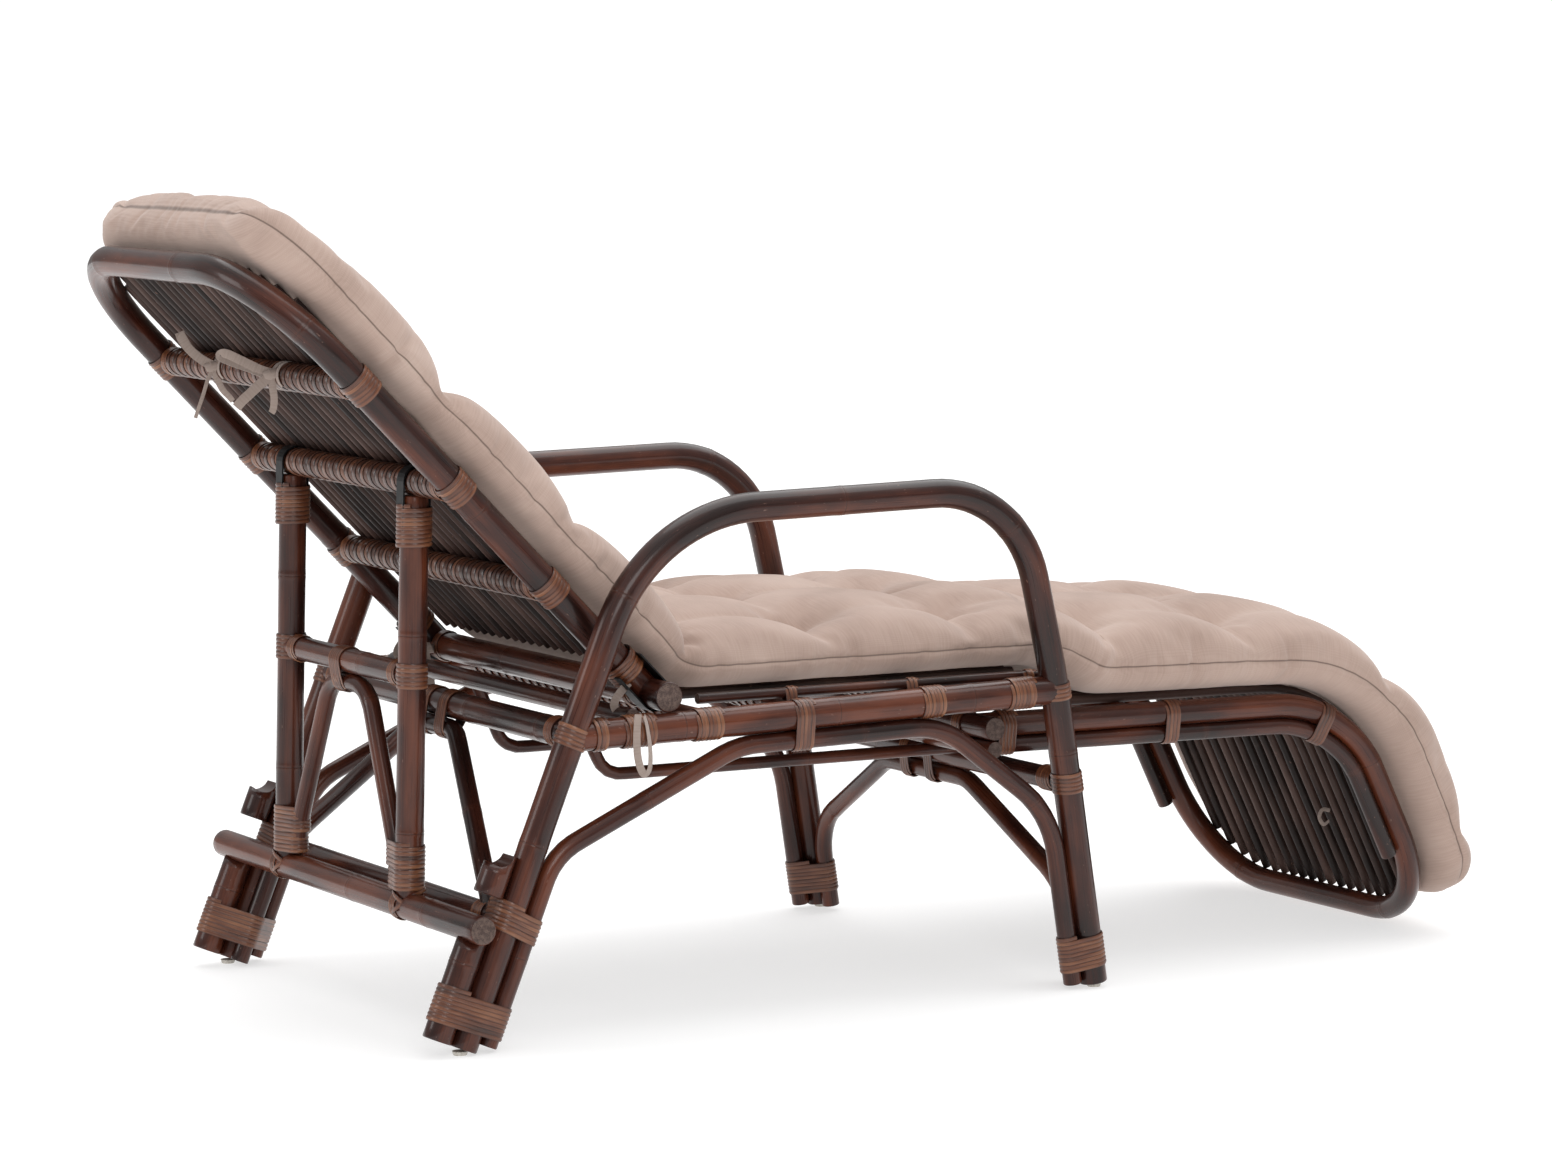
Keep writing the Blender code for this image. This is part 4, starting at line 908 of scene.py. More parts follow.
def ribbon(points: list[Vector], across: list[Vector], out: list[Vector], strand: Strand,
           tones: list[float]) -> bpy.types.Object:
    """Lays a flat strand along a line, as a closed mesh.

    A grid is laid out at the strand's length, its rows are moved onto the line, and Solidify gives
    it its thickness.

    Args:
        points: The strand's middle line.
        across: Unit vector over its width at each point.
        out: Unit vector away from what it lies on, at each point.
        strand: Its section.
        tones: Its tone at each point.

    Returns:
        The strand's object, not yet dressed.
    """
    fresh_start()
    count = len(points)
    bpy.ops.mesh.primitive_grid_add(x_subdivisions=count - 1, y_subdivisions=2, size=1.0)
    obj = bpy.context.object
    mesh = obj.data
    middle = np.array([tuple(p) for p in points])
    side = np.array([tuple(a) for a in across])
    away = np.array([tuple(o) for o in out])
    place = np.concatenate([middle - side * strand.width / 2, middle + away * strand.crown,
                            middle + side * strand.width / 2])
    mesh.vertices.foreach_set("co", place.astype(np.float32).ravel())
    run = np.concatenate([[0.0], np.cumsum(np.linalg.norm(np.diff(middle, axis=0), axis=1))])
    width = strand.width / 2
    rows = [np.stack([run, np.full(count, w), np.zeros(count)], 1) for w in (-width, 0.0, width)]
    store(mesh, "grain", "FLOAT_VECTOR", np.concatenate(rows))
    # Edge mask: 1 at both edges and 0 along the middle. The peel finish uses it to paint shade along the
    # strand's edges.
    store(mesh, "ring", "FLOAT", np.repeat([1.0, 0.0, 1.0], count))
    store(mesh, "tone", "FLOAT", np.tile(np.array(tones), 3))
    solid = obj.modifiers.new("thickness", "SOLIDIFY")
    solid.thickness = strand.thick
    solid.offset = 0.0
    apply_modifiers(obj)
    bpy.ops.object.mode_set(mode="EDIT")
    bpy.ops.mesh.select_all(action="SELECT")
    bpy.ops.mesh.normals_make_consistent(inside=False)
    bpy.ops.object.mode_set(mode="OBJECT")
    bpy.ops.object.shade_smooth_by_angle(angle=math.radians(60))
    return obj


@dataclass
class Lashing:
    """A strand wound round one pole, or round several side by side."""

    centre: Vector
    axis: Vector
    poles: list[tuple[Vector, float]]
    turns: float
    strand: Strand = THIN
    lay: Lay = Lay.ROUND
    pitch: float = 0.0
    slant: float = 0.0
    seed: int = 1
    step: float = 0.0045
    start: Vector | None = None

    def outline(self) -> tuple[np.ndarray, np.ndarray, Vector, Vector]:
        """The line that a taut strand takes round the poles.

        Returns:
            Its points and outward directions in the plane across the axis, and that plane's axes.
        """
        e1 = self.axis.orthogonal().normalized()
        e2 = self.axis.cross(e1).normalized()
        swell = self.strand.air + self.strand.thick / 2
        spots = []
        for offset, radius in self.poles:
            for i in range(72):
                angle = 2 * math.pi * i / 72
                spots.append(Vector((offset.dot(e1) + (radius + swell) * math.cos(angle),
                                     offset.dot(e2) + (radius + swell) * math.sin(angle))))
        ring = np.array([tuple(spots[i]) for i in convex_hull_2d(spots)])
        closed = np.vstack([ring, ring[:1]])
        marks = np.concatenate([[0.0], np.cumsum(np.linalg.norm(np.diff(closed, axis=0), axis=1))])
        count = max(14, round(marks[-1] / self.step))
        at = np.linspace(0, marks[-1], count, endpoint=False)
        points = np.stack([np.interp(at, marks, closed[:, k]) for k in (0, 1)], 1)
        tangent = np.roll(points, -1, 0) - np.roll(points, 1, 0)
        normal = np.stack([tangent[:, 1], -tangent[:, 0]], 1)
        normal /= np.linalg.norm(normal, axis=1)[:, None]
        if ((points - points.mean(0)) * normal).sum() < 0:
            normal = -normal
        if self.start:
            first = int(np.argmax(normal @ np.array([self.start.dot(e1), self.start.dot(e2)])))
            points, normal = np.roll(points, -first, 0), np.roll(normal, -first, 0)
        return points, normal, e1, e2

    def advance(self, turn: float, share: float, pitch: float) -> float:
        """Place along the axis after some turns, at a share of the present turn."""
        here = (turn - self.turns / 2) * pitch
        if self.lay is Lay.HERRINGBONE:
            # Three turns lie together between two slats, with a gap before the next three.
            bunched = -0.13 * pitch * math.sin(2 * math.pi * turn / 3)
            return here + bunched + self.slant * 0.5 * math.cos(2 * math.pi * share)
        return here + self.slant * math.sin(2 * math.pi * share)

    def lift(self, turn: float) -> float:
        """How far a turn stands up over its neighbours: the middle one of each three is proud."""
        return PUFF * (1 + math.cos(2 * math.pi * turn / 3)) if self.lay is Lay.HERRINGBONE else 0.0

    def tilt(self, turn: float, pitch: float) -> float:
        """Slope of a turn across its strand, so that each three lie as one rounded ridge."""
        return -PUFF * 2 * math.pi / 3 * math.sin(2 * math.pi * turn / 3) / pitch

    def build(self) -> list[bpy.types.Object]:
        """Winds the strand."""
        if self.lay is Lay.SLANTED:
            made = []
            for sign in (1, -1):
                single = Lashing(self.centre, self.axis, self.poles, self.turns, self.strand, Lay.ROUND,
                                 self.pitch, sign * self.slant, self.seed + sign, self.step)
                made += single.build()
            return made
        points, normals, e1, e2 = self.outline()
        count = len(points)
        pitch = self.pitch or self.strand.width * 1.04
        rng = random.Random(self.seed)
        wobble = [rng.uniform(-0.10, 0.10) for _ in range(int(self.turns) + 3)]
        shades = [rng.uniform(-0.08, 0.08) for _ in range(int(self.turns) + 3)]
        total = max(2, round(self.turns * count))
        middle, across, out, tones = [], [], [], []
        for k in range(total + 1):
            turn = k / count
            index, share = k % count, (k % count) / count
            whole = int(turn)
            drift = (wobble[whole] * (1 - share) + wobble[whole + 1] * share) * self.strand.width
            along = self.advance(turn, share, pitch) + drift
            following = self.advance((k + 1) / count, ((k + 1) % count) / count, pitch)
            normal = e1 * normals[index][0] + e2 * normals[index][1]
            # The strand's ends are tucked in under its first and last turn.
            tuck = max(0.0, 1 - min(k, total - k) / 4) * self.strand.thick
            place = e1 * points[index][0] + e2 * points[index][1] + normal * (self.lift(turn) - tuck)
            middle.append(self.centre + place + self.axis * along)
            heading = (e1 * (points[(k + 1) % count][0] - points[index][0])
                       + e2 * (points[(k + 1) % count][1] - points[index][1])
                       + self.axis * (following - along + drift))
            side = normal.cross(heading).normalized()
            if self.lay is Lay.HERRINGBONE:
                lean = self.tilt(turn, pitch) * (1 if side.dot(self.axis) > 0 else -1)
                side, normal = (side + normal * lean).normalized(), (normal - side * lean).normalized()
            out.append(normal)
            across.append(side)
            tones.append(shades[whole] * (1 - share) + shades[whole + 1] * share)
        return [ribbon(middle, across, out, self.strand, tones)]


def one(radius: float) -> list[tuple[Vector, float]]:
    """A single pole to wind, on the lashing's own axis."""
    return [(Vector(), radius)]

@dataclass
class LashingSet:
    """Lashings of one body and finish that make one piece."""

    name: str
    body: str
    finish: Finish = Finish.PEEL
    replaces: tuple[str, ...] = ()
    lashings: list[Lashing] = field(default_factory=list)

    def add(self, centre: Vector, axis: Vector, poles: list[tuple[Vector, float]], turns: float,
            **how: object) -> None:
        """Adds a lashing."""
        seed = len(self.lashings) * 13 + len(self.name)
        self.lashings.append(Lashing(centre, axis.normalized(), poles, turns, seed=seed, **how))

    def build(self) -> bpy.types.Object:
        """Winds all of them and joins them."""
        made = [strand for lashing in self.lashings for strand in lashing.build()]
        obj = dress(join(self.name, made), self.name, self.body, self.finish)
        if self.replaces:
            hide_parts(*self.replaces)
        return obj


# Slats and wound bars


@dataclass
class SlatPanel:
    """Thin poles side by side, each with its own tone and joint rings."""

    name: str
    body: str
    ways: list[list[Vector]]
    replaces: tuple[str, ...] = ()
    radius: float = DRAWING.slat_r
    step: float = 0.024

    def build(self) -> bpy.types.Object:
        """Models all slats as one piece."""
        rng = random.Random(len(self.ways) * 31 + len(self.name))
        runs, facts = [], []
        for points in self.ways:
            way = Way(points)
            marks = np.linspace(0.0, way.length, max(3, math.ceil(way.length / self.step)))
            marks = np.sort(np.concatenate([marks, [0.0006, way.length - 0.0006]]))
            size = self.radius * rng.uniform(0.93, 1.0)
            sway = rng.uniform(0.0, 6.28)
            run = []
            for mark in marks:
                end = 0.90 if mark in (0.0, way.length) else 1.0
                place = way.at(mark) + Vector((0.0006 * math.sin(mark / 0.07 + sway), 0.0, 0.0))
                run.append((place, size * end * (1 + 0.02 * math.sin(mark / 0.05 + sway))))
            runs.append(run)
            rings = [rng.uniform(0.02, 0.25) + 0.23 * i for i in range(4)]
            facts.append((marks, rings, self.radius, rng.uniform(-0.14, 0.12)))
        obj, sides = sweep(runs, 4)
        store_grain(obj.data, facts, sides)
        close_ends(obj)
        dress(obj, self.name, self.body, Finish.SLAT, Finish.END)
        if self.replaces:
            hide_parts(*self.replaces)
        return obj


def slat_xs(per_side: int) -> list[float]:
    """Places of the slats across the lounger."""
    return [side * DRAWING.slat_pitch * (i + 0.5) for side in (1, -1) for i in range(per_side)]


def end_inset(x: float, half: float, bend: float) -> float:
    """How much shorter a slat is where the frame's corner curves in."""
    into = abs(x) - (half - bend)
    return bend - math.sqrt(bend * bend - into * into) if into > 0 else 0.0


@dataclass
class WoundBar:
    """A cross bar under a close herringbone winding of stained cane, which ends on the side poles."""

    name: str
    distance: float
    replaces: tuple[str, ...] = ()

    def build(self) -> None:
        """Models the bar, its winding and the paler turns round the side poles."""
        d = DRAWING
        x = d.back_x
        left, right = d.across(x, d.back(self.distance))
        Pole(self.name, [left, right], 0.0131, "back", self.replaces, seed=int(self.distance * 100)).build()
        winding = LashingSet(self.name + "_winding", "back", Finish.DARK_PEEL)
        half = x - d.back_r - 0.004
        pitch = d.slat_pitch / 3
        winding.add((left + right) / 2, ACROSS, one(0.0132), 2 * half / pitch, strand=BAR_PEEL,
                    lay=Lay.HERRINGBONE, pitch=pitch, slant=0.012, start=Vector((0.0, 1.0, 0.1)), step=0.0036)
        winding.build()
        ends = LashingSet(self.name + "_end_turns", "back")
        way = d.back_way()
        for _, side in SIDES:
            centre = d.spot(side * x, d.back(self.distance))
            ends.add(centre, way, one(d.back_r), 6)
            inner = centre - Vector((side * (d.back_r + 0.010), 0, 0))
            ends.add(inner, ACROSS, one(0.0158), 3, slant=0.003)
        ends.build()


# Sub-assemblies


@dataclass
class SideFrames:
    """The base: bent arm frames, rails, braces and everything bound to them."""

    d: Layout = DRAWING
    below: float = 0.0062

    def arm_path(self, x: float) -> list[Vector]:
        """Axis of one arm frame, from rear foot to front foot."""
        d = self.d
        corners = [d.rear_leg(self.below), (d.rear_foot_y - d.lean * 0.6208, 0.6208), (-0.147, 0.6318),
                   d.knee, d.front_leg(self.below)]
        return bent(d.lift(x, *corners), (0.218, 0.145, 0.600))

    def brace_path(self, x: float) -> list[Vector]:
        """Axis of one side brace."""
        d = self.d
        touch = d.arm_r + d.gap + d.brace_r
        rear = touch / d.leg_way()[1]
        front = touch * math.hypot(1.0, (d.knee[0] - d.front_foot_y) / d.knee[1])
        drop = -(d.rail_r + d.gap + d.brace_r)
        corners = [d.rear_leg(self.below, rear), d.rear_leg(0.2254, rear), d.rail(0.245, drop),
                   d.rail(-0.038, drop), d.front_leg(0.224, front), d.front_leg(self.below, front)]
        return bent(d.lift(x, *corners), (0.080, 0.12, 0.12, 0.13))

    def arch_path(self, leg: object, top_z: float, half_top: float, leg_z: float,
                  bends: tuple[float, float]) -> list[Vector]:
        """Axis of an arch brace between a pair of legs."""
        d = self.d
        x = d.arm_x - d.arm_r - d.gap - d.brace_r
        shape = [(x, self.below), (x, leg_z), (half_top, top_z), (-half_top, top_z), (-x, leg_z),
                 (-x, self.below)]
        corners = [d.spot(side, leg(z)) for side, z in shape]
        return bent(corners, (bends[1], bends[0], bends[0], bends[1]))

    def build(self) -> None:
        """Models the whole base."""
        self.side_poles()
        self.cross_poles()
        self.notches()
        self.deck()
        self.side_lashings()
        self.foot_bindings()
        self.cross_lashings()

    def side_poles(self) -> None:
        """Arm frames, side rails, side braces and the deck's edge rails."""
        d = self.d
        for number, (side, sign) in enumerate(SIDES):
            x = sign * d.arm_x
            Pole("arm_pole_" + side, self.arm_path(x), d.arm_r, "base", ("arm_frame_" + side,),
                 seed=11 + number, ring_every=0.33, resolution=11).build()
            ends = d.lift(x, d.rail(d.rear_leg(d.rail_rear_z)[0]), d.rail(d.front_leg(d.rail_front_z)[0]))
            Pole("side_rail_pole_" + side, ends, d.rail_r, "base", ("side_rail_" + side,), seed=21 + number,
                 ring_every=0.24).build()
            Pole("side_brace_pole_" + side, self.brace_path(x), d.brace_r, "base", ("side_brace_" + side,),
                 seed=31 + number, ring_every=0.30).build()
            edge_z = d.seat_bar_z + d.seat_bar_r + d.gap + d.edge_r - d.slack
            edge = d.lift(sign * d.edge_x, (0.285, edge_z), (d.deck_front_y, edge_z))
            Pole("seat_edge_pole_" + side, edge, d.edge_r, "base", ("seat_edge_rail_" + side,),
                 seed=41 + number, resolution=5).build()

    def cross_poles(self) -> None:
        """Rear and front cross rails, arch braces, stretcher, thin rear pole and footrest runners."""
        d = self.d
        x = d.arm_x
        rear = d.rear_leg(d.rear_cross_z)
        Pole("rear_cross_pole", d.across(x, rear), d.cross_rail_r, "base", ("rear_cross_rail",),
             seed=51, ring_every=0.24).build()
        top_z = d.rear_cross_z - (d.cross_rail_r + d.gap + d.brace_r) * d.leg_way()[1]
        Pole("rear_arch_pole", self.arch_path(d.rear_leg, top_z, 0.050, 0.148, (0.050, 0.080)), d.brace_r,
             "base", ("rear_arch_brace",), seed=52).build()
        low = d.rear_leg(d.stretcher_z)
        Pole("rear_stretcher_pole", d.across(x, low), d.stretcher_r, "base", ("rear_stretcher",),
             seed=53).build()
        front_z = d.front_rail_z()
        front = d.front_leg(front_z)
        Pole("front_cross_pole", d.across(x, front), d.front_rail_r, "base", ("front_cross_rail",),
             seed=54).build()
        arch_z = front_z - d.front_rail_r - d.gap - d.brace_r
        Pole("front_arch_pole", self.arch_path(d.front_leg, arch_z, 0.100, 0.120, (0.060, 0.090)), d.brace_r,
             "base", ("front_arch_brace",), seed=55).build()
        thin = (0.382, 0.379)
        Pole("thin_rear_pole", d.across(x - 0.010, thin), d.rear_pole_r, "base",
             ("seat_rear_cross_pole",), seed=56, resolution=7).build()
        top = (0.382 - d.rear_pole_r - d.gap - d.runner_r + d.slack, 0.379)
        end = (front[0] - d.front_rail_r - d.runner_r, d.runner_z)
        for number, (side, sign) in enumerate(SIDES):
            path = bent(d.lift(sign * 0.138, top, (0.320, d.runner_z), end), (0.035,))
            Pole("footrest_runner_pole_" + side, path, d.runner_r, "base", ("footrest_runner_" + side,),
                 seed=57 + number, resolution=6).build()

    def notches(self) -> None:
        """Short poles behind the rear legs, sawn out for the prop's foot bar."""
        d = self.d
        way = d.leg_way()
        step = d.arm_r + d.gap + d.block_r - d.slack
        notch = d.notch()
        reach = (notch[0] - d.rear_foot_y) * way[0] + notch[1] * way[1]

        def along(distance: float) -> Pair:
            """Point on the blocks' axis."""
            return (d.rear_foot_y + distance * way[0] + step * way[1], distance * way[1] - step * way[0])

        for number, (side, sign) in enumerate(SIDES):
            x = sign * d.arm_x
            for label, start, end, up in (("lower", 0.0066, reach, 0.0),
                                          ("upper", reach + 0.042, reach + 0.094, 0.094)):
                bar = d.spot(x - 0.06, d.notch(up)), d.spot(x + 0.06, d.notch(up)), d.prop_r + d.gap
                Pole(f"notch_{label}_pole_{side}", d.lift(x, along(start), along(end)), d.block_r, "base",
                     (f"notch_block_{label}_{side}",), seed=61 + number, tone=-0.03, copes=(bar,)).build()

    def deck(self) -> None:
        """Seat slats and the four bars that they are bound to."""
        d = self.d
        slat_z = d.seat_bar_z + d.seat_bar_r + d.slat_r - d.slat_sink
        rear = d.pivot_y - d.pivot_r - d.slat_r
        ways = [d.lift(x, (rear, slat_z), (d.deck_front_y, slat_z)) for x in slat_xs(12)]
        SlatPanel("seat_slats", "base", ways, ("seat_slat_panel",)).build()
        winding = LashingSet("seat_bar_windings", "base", Finish.DARK_PEEL)
        for number, y in enumerate(d.seat_bars_y):
            bar = d.across(d.arm_x - 0.008, (y, d.seat_bar_z))
            Pole(f"seat_bar_{number + 1}", bar, d.seat_bar_r - 0.0016, "base", seed=71 + number,
                 resolution=6).build()
            winding.add((bar[0] + bar[1]) / 2, ACROSS, one(d.seat_bar_r - 0.0016), 24,
                        strand=Strand(0.0060, 0.0014), pitch=d.slat_pitch, slant=0.004, step=0.006)
        winding.build()

    def side_lashings(self) -> None:
        """Turns of cane along the side rails and where they meet the legs."""
        d = self.d
        y0, y1 = d.rail(0.4)[1], d.rail(0.0)[1]
        along = Vector((0, 0.4, y0 - y1)).normalized()
        leg = d.rear_way()
        front = d.front_way()
        below = Vector((0, 0, -(d.rail_r + d.gap + d.brace_r)))
        for side, sign in SIDES:
            x = sign * d.arm_x
            work = LashingSet("side_rail_lashings_" + side, "base")
            for y, turns in ((0.435, 3.5), (0.383, 8), (0.290, 7), (-0.022, 6), (-0.150, 7)):
                work.add(d.spot(x, d.rail(y)), along, one(d.rail_r), turns)
            work.add(d.spot(x, d.rail(0.160)), along, [(Vector(), d.rail_r), (below, d.brace_r)], 5)
            rear = d.spot(x, d.rear_leg(d.rail_rear_z))
            work.add(rear, leg, one(d.arm_r), 5, slant=0.002)
            fore = d.spot(x, d.front_leg(d.rail_front_z))
            work.add(fore, front, one(d.arm_r), 4.5, slant=0.002)
            for y in d.seat_bars_y[1:]:
                z = d.seat_bar_z + d.seat_bar_r + d.edge_r
                work.add(d.spot(sign * d.edge_x, (y, z - 0.010)), Vector((0, 1, 0)),
                         [(Vector((0, 0, 0.009)), d.edge_r), (Vector((0, 0, -0.009)), 0.009)], 3)
            work.build()

    def foot_bindings(self) -> None:
        """Wide turns round each foot's bundle of poles, and round the bundle at the lower notch."""
        d = self.d
        block = d.arm_r + d.gap + d.block_r
        touch = d.arm_r + d.gap + d.brace_r
        way = d.leg_way()
        slope = (d.knee[0] - d.front_foot_y) / d.knee[1]
        size = math.hypot(slope, 1.0)
        for side, sign in SIDES:
            inward = Vector((-sign, 0, 0))
            x = sign * d.arm_x
            up, behind = Vector((0, way[0], way[1])), Vector((0, way[1], -way[0]))
            bundle = [(Vector(), d.arm_r), (behind * block, d.block_r), (behind * -touch, d.brace_r),
                      (inward * touch, d.brace_r)]
            rear = LashingSet("rear_foot_binding_" + side, "base", replaces=("foot_binding_rear_" + side,))
            foot = d.spot(x, (d.rear_foot_y, 0.0))
            rear.add(foot + up * 0.049, up, bundle, 8.5)
            rear.build()
            upper = LashingSet("rear_leg_lashing_" + side, "base")
            upper.add(foot + up * 0.166, up, [bundle[0], bundle[2], bundle[3]], 6.5, slant=0.004)
            upper.build()
            ahead = Vector((0, slope / size, 1 / size))
            toward = Vector((0, 1 / size, -slope / size))
            front = LashingSet("front_foot_binding_" + side, "base", replaces=("foot_binding_front_" + side,))
            foot = d.spot(x, (d.front_foot_y, 0.0))
            front.add(foot + ahead * 0.049, ahead, [(Vector(), d.arm_r), (toward * touch, d.brace_r),
                                                    (inward * touch, d.brace_r)], 8.5)
            front.build()

    def cross_lashings(self) -> None:
        """Turns round the cross rails' ends and where the arches touch them."""
        d = self.d
        work = LashingSet("cross_rail_lashings", "base")
        rear = d.rear_leg(d.rear_cross_z)
        way = d.rear_way()
        arch = way * -(d.cross_rail_r + d.gap + d.brace_r)
        front_z = d.front_rail_z()
        front = d.front_leg(front_z)
        front_way = d.front_way()
        drop = Vector((0, 0, -(d.front_rail_r + d.gap + d.brace_r)))
        low = d.rear_leg(d.stretcher_z)
        for _, sign in SIDES:
            work.add(d.spot(sign * (d.arm_x - 0.032), rear), ACROSS, one(d.cross_rail_r), 4)
            work.add(d.spot(sign * 0.026, rear), ACROSS, [(Vector(), d.cross_rail_r), (arch, d.brace_r)], 5)
            work.add(d.spot(sign * (d.arm_x - 0.036), front), ACROSS, one(d.front_rail_r), 6)
            work.add(d.spot(sign * 0.030, front), ACROSS, [(Vector(), d.front_rail_r), (drop, d.brace_r)], 4)
            work.add(d.spot(sign * d.arm_x, front), front_way, one(d.arm_r), 5, slant=0.002)
            work.add(d.spot(sign * (d.arm_x - 0.058), low), ACROSS, one(d.stretcher_r), 5)
            work.add(d.spot(sign * (d.arm_x - d.arm_r - d.brace_r), low), way, one(d.brace_r + 0.001), 1,
                     lay=Lay.SLANTED, slant=0.014)
        work.build()


@dataclass
class Back:
    """The reclining back: U-bent frame, pivot bar, wound cross bars and slats."""

    d: Layout = DRAWING

    def build(self) -> None:
        """Models the back."""
        d = self.d
        flat = [(d.back_x, 0.004), (d.back_x, d.back_length), (-d.back_x, d.back_length), (-d.back_x, 0.004)]
        corners = [d.spot(x, d.back(distance)) for x, distance in flat]
        frame = Pole("back_frame_pole", bent(corners, (d.back_bend, d.back_bend)), d.back_r, "back",
                     ("back_frame",), seed=81, ring_every=0.26, resolution=11)
        frame.build()
        pivot = d.across(d.pivot_half, d.pivot())
        Pole("pivot_pole", pivot, d.pivot_r, "back", ("pivot_bar",), seed=82).build()
        self.slats()
        WoundBar("back_bar_top", d.bar_top).build()
        WoundBar("back_bar_mid", d.bar_mid, ("back_cross_bar_mid",)).build()
        WoundBar("back_bar_low", d.bar_low).build()
        work = LashingSet("hinge_lashings", "back")
        way = d.back_way()
        for _, sign in SIDES:
            work.add(d.spot(sign * d.back_x, d.back(0.046)), way, one(d.back_r + 0.0026), 5)
            work.add(d.spot(sign * 0.262, d.pivot()), ACROSS, one(d.pivot_r), 3)
        work.build()

    def slats(self) -> None:
        """The slatted panel, whose ends follow the frame's corners."""
        d = self.d
        offset = d.slat_offset()
        ways = []
        for x in slat_xs(12):
            end = d.back_length - d.back_r - end_inset(x, d.back_x, d.back_bend) + 0.004
            ways.append(d.lift(x, d.back(d.pivot_r + 0.004, offset), d.back(end, offset)))
        SlatPanel("back_slats", "back", ways, ("back_slat_panel",)).build()


@dataclass
class Prop:
    """The prop frame that hangs from the back's middle bar and stands in the notches."""

    d: Layout = DRAWING
    x: float = 0.1765

    def build(self) -> None:
        """Models the prop."""
        d = self.d
        top, foot = d.back(d.bar_mid), d.notch()
        way = Vector((0, top[0] - foot[0], top[1] - foot[1])).normalized()
        reach = math.dist(top, foot)
        for number, (side, sign) in enumerate(SIDES):
            start, end = d.lift(sign * self.x, foot, top)
            ends = [start + way * (d.prop_r * 0.6), end - way * (d.bar_r + 0.0005)]
            Pole("prop_pole_" + side, ends, d.prop_r, "prop", ("prop_upright_" + side,), seed=91 + number,
                 ring_every=0.31).build()
        bar = d.across(d.prop_bar_half, foot)
        Pole("prop_foot_pole", bar, d.prop_r, "prop", ("prop_foot_bar",), seed=93, ring_every=0.24).build()
        middle = d.prop(d.prop_mid_z)
        Pole("prop_mid_pole", d.across(self.x, middle), d.prop_bar_r, "prop",
             ("prop_mid_bar",), seed=94).build()
        self.arch()
        self.lashings(way, reach)

    def arch(self) -> None:
        """The bent brace inside the prop."""
        d = self.d
        top_z = d.prop_mid_z - d.prop_bar_r - d.gap - d.prop_arch_r
        half = [(0.149, 0.172), (0.141, 0.212), (0.053, top_z)]
        shape = half + [(-x, z) for x, z in reversed(half)]
        corners = [d.spot(x, d.prop(z)) for x, z in shape]
        Pole("prop_arch_pole", bent(corners, (0.120, 0.050, 0.050, 0.120)), d.prop_arch_r, "prop",
             ("prop_arch_brace",), seed=95, resolution=7).build()

    def lashings(self, way: Vector, reach: float) -> None:
        """Turns under the hooks, at the middle bar and round the foot."""
        d = self.d
        work = LashingSet("prop_lashings", "prop")
        foot, middle = d.notch(), d.prop(d.prop_mid_z)
        arch = way * -(d.prop_bar_r + d.gap + d.prop_arch_r)
        work.add(d.spot(0.010, middle), ACROSS, [(Vector(), d.prop_bar_r), (arch, d.prop_arch_r)], 5.5,
                 slant=0.003)
        work.add(d.spot(0.010, middle) + arch * 0.8, ACROSS, one(d.prop_arch_r + 0.0016), 3, slant=0.004)
        for _, sign in SIDES:
            base = d.spot(sign * self.x, foot)
            work.add(base + way * (reach - d.bar_r - 0.037), way, one(d.prop_r + 0.0026), 9.5)
            work.add(d.spot(sign * self.x, middle), way, one(d.prop_r), 6, slant=0.001)
            work.add(d.spot(sign * (self.x - 0.030), middle), ACROSS, one(d.prop_bar_r), 4)
            for up, gap in ((0.034, 0.0290), (0.061, 0.0350)):
                inward = Vector((-sign * gap, 0, 0))
                work.add(base + way * up, way, [(Vector(), d.prop_r), (inward, d.prop_arch_r)], 5.5)
            work.add(d.spot(sign * self.x + 0.013, foot), ACROSS + way * 0.10, one(d.prop_r), 3)
            work.add(base + way * 0.006, way, one(d.prop_r + 0.0012), 1, lay=Lay.SLANTED, slant=0.013)
        work.build()


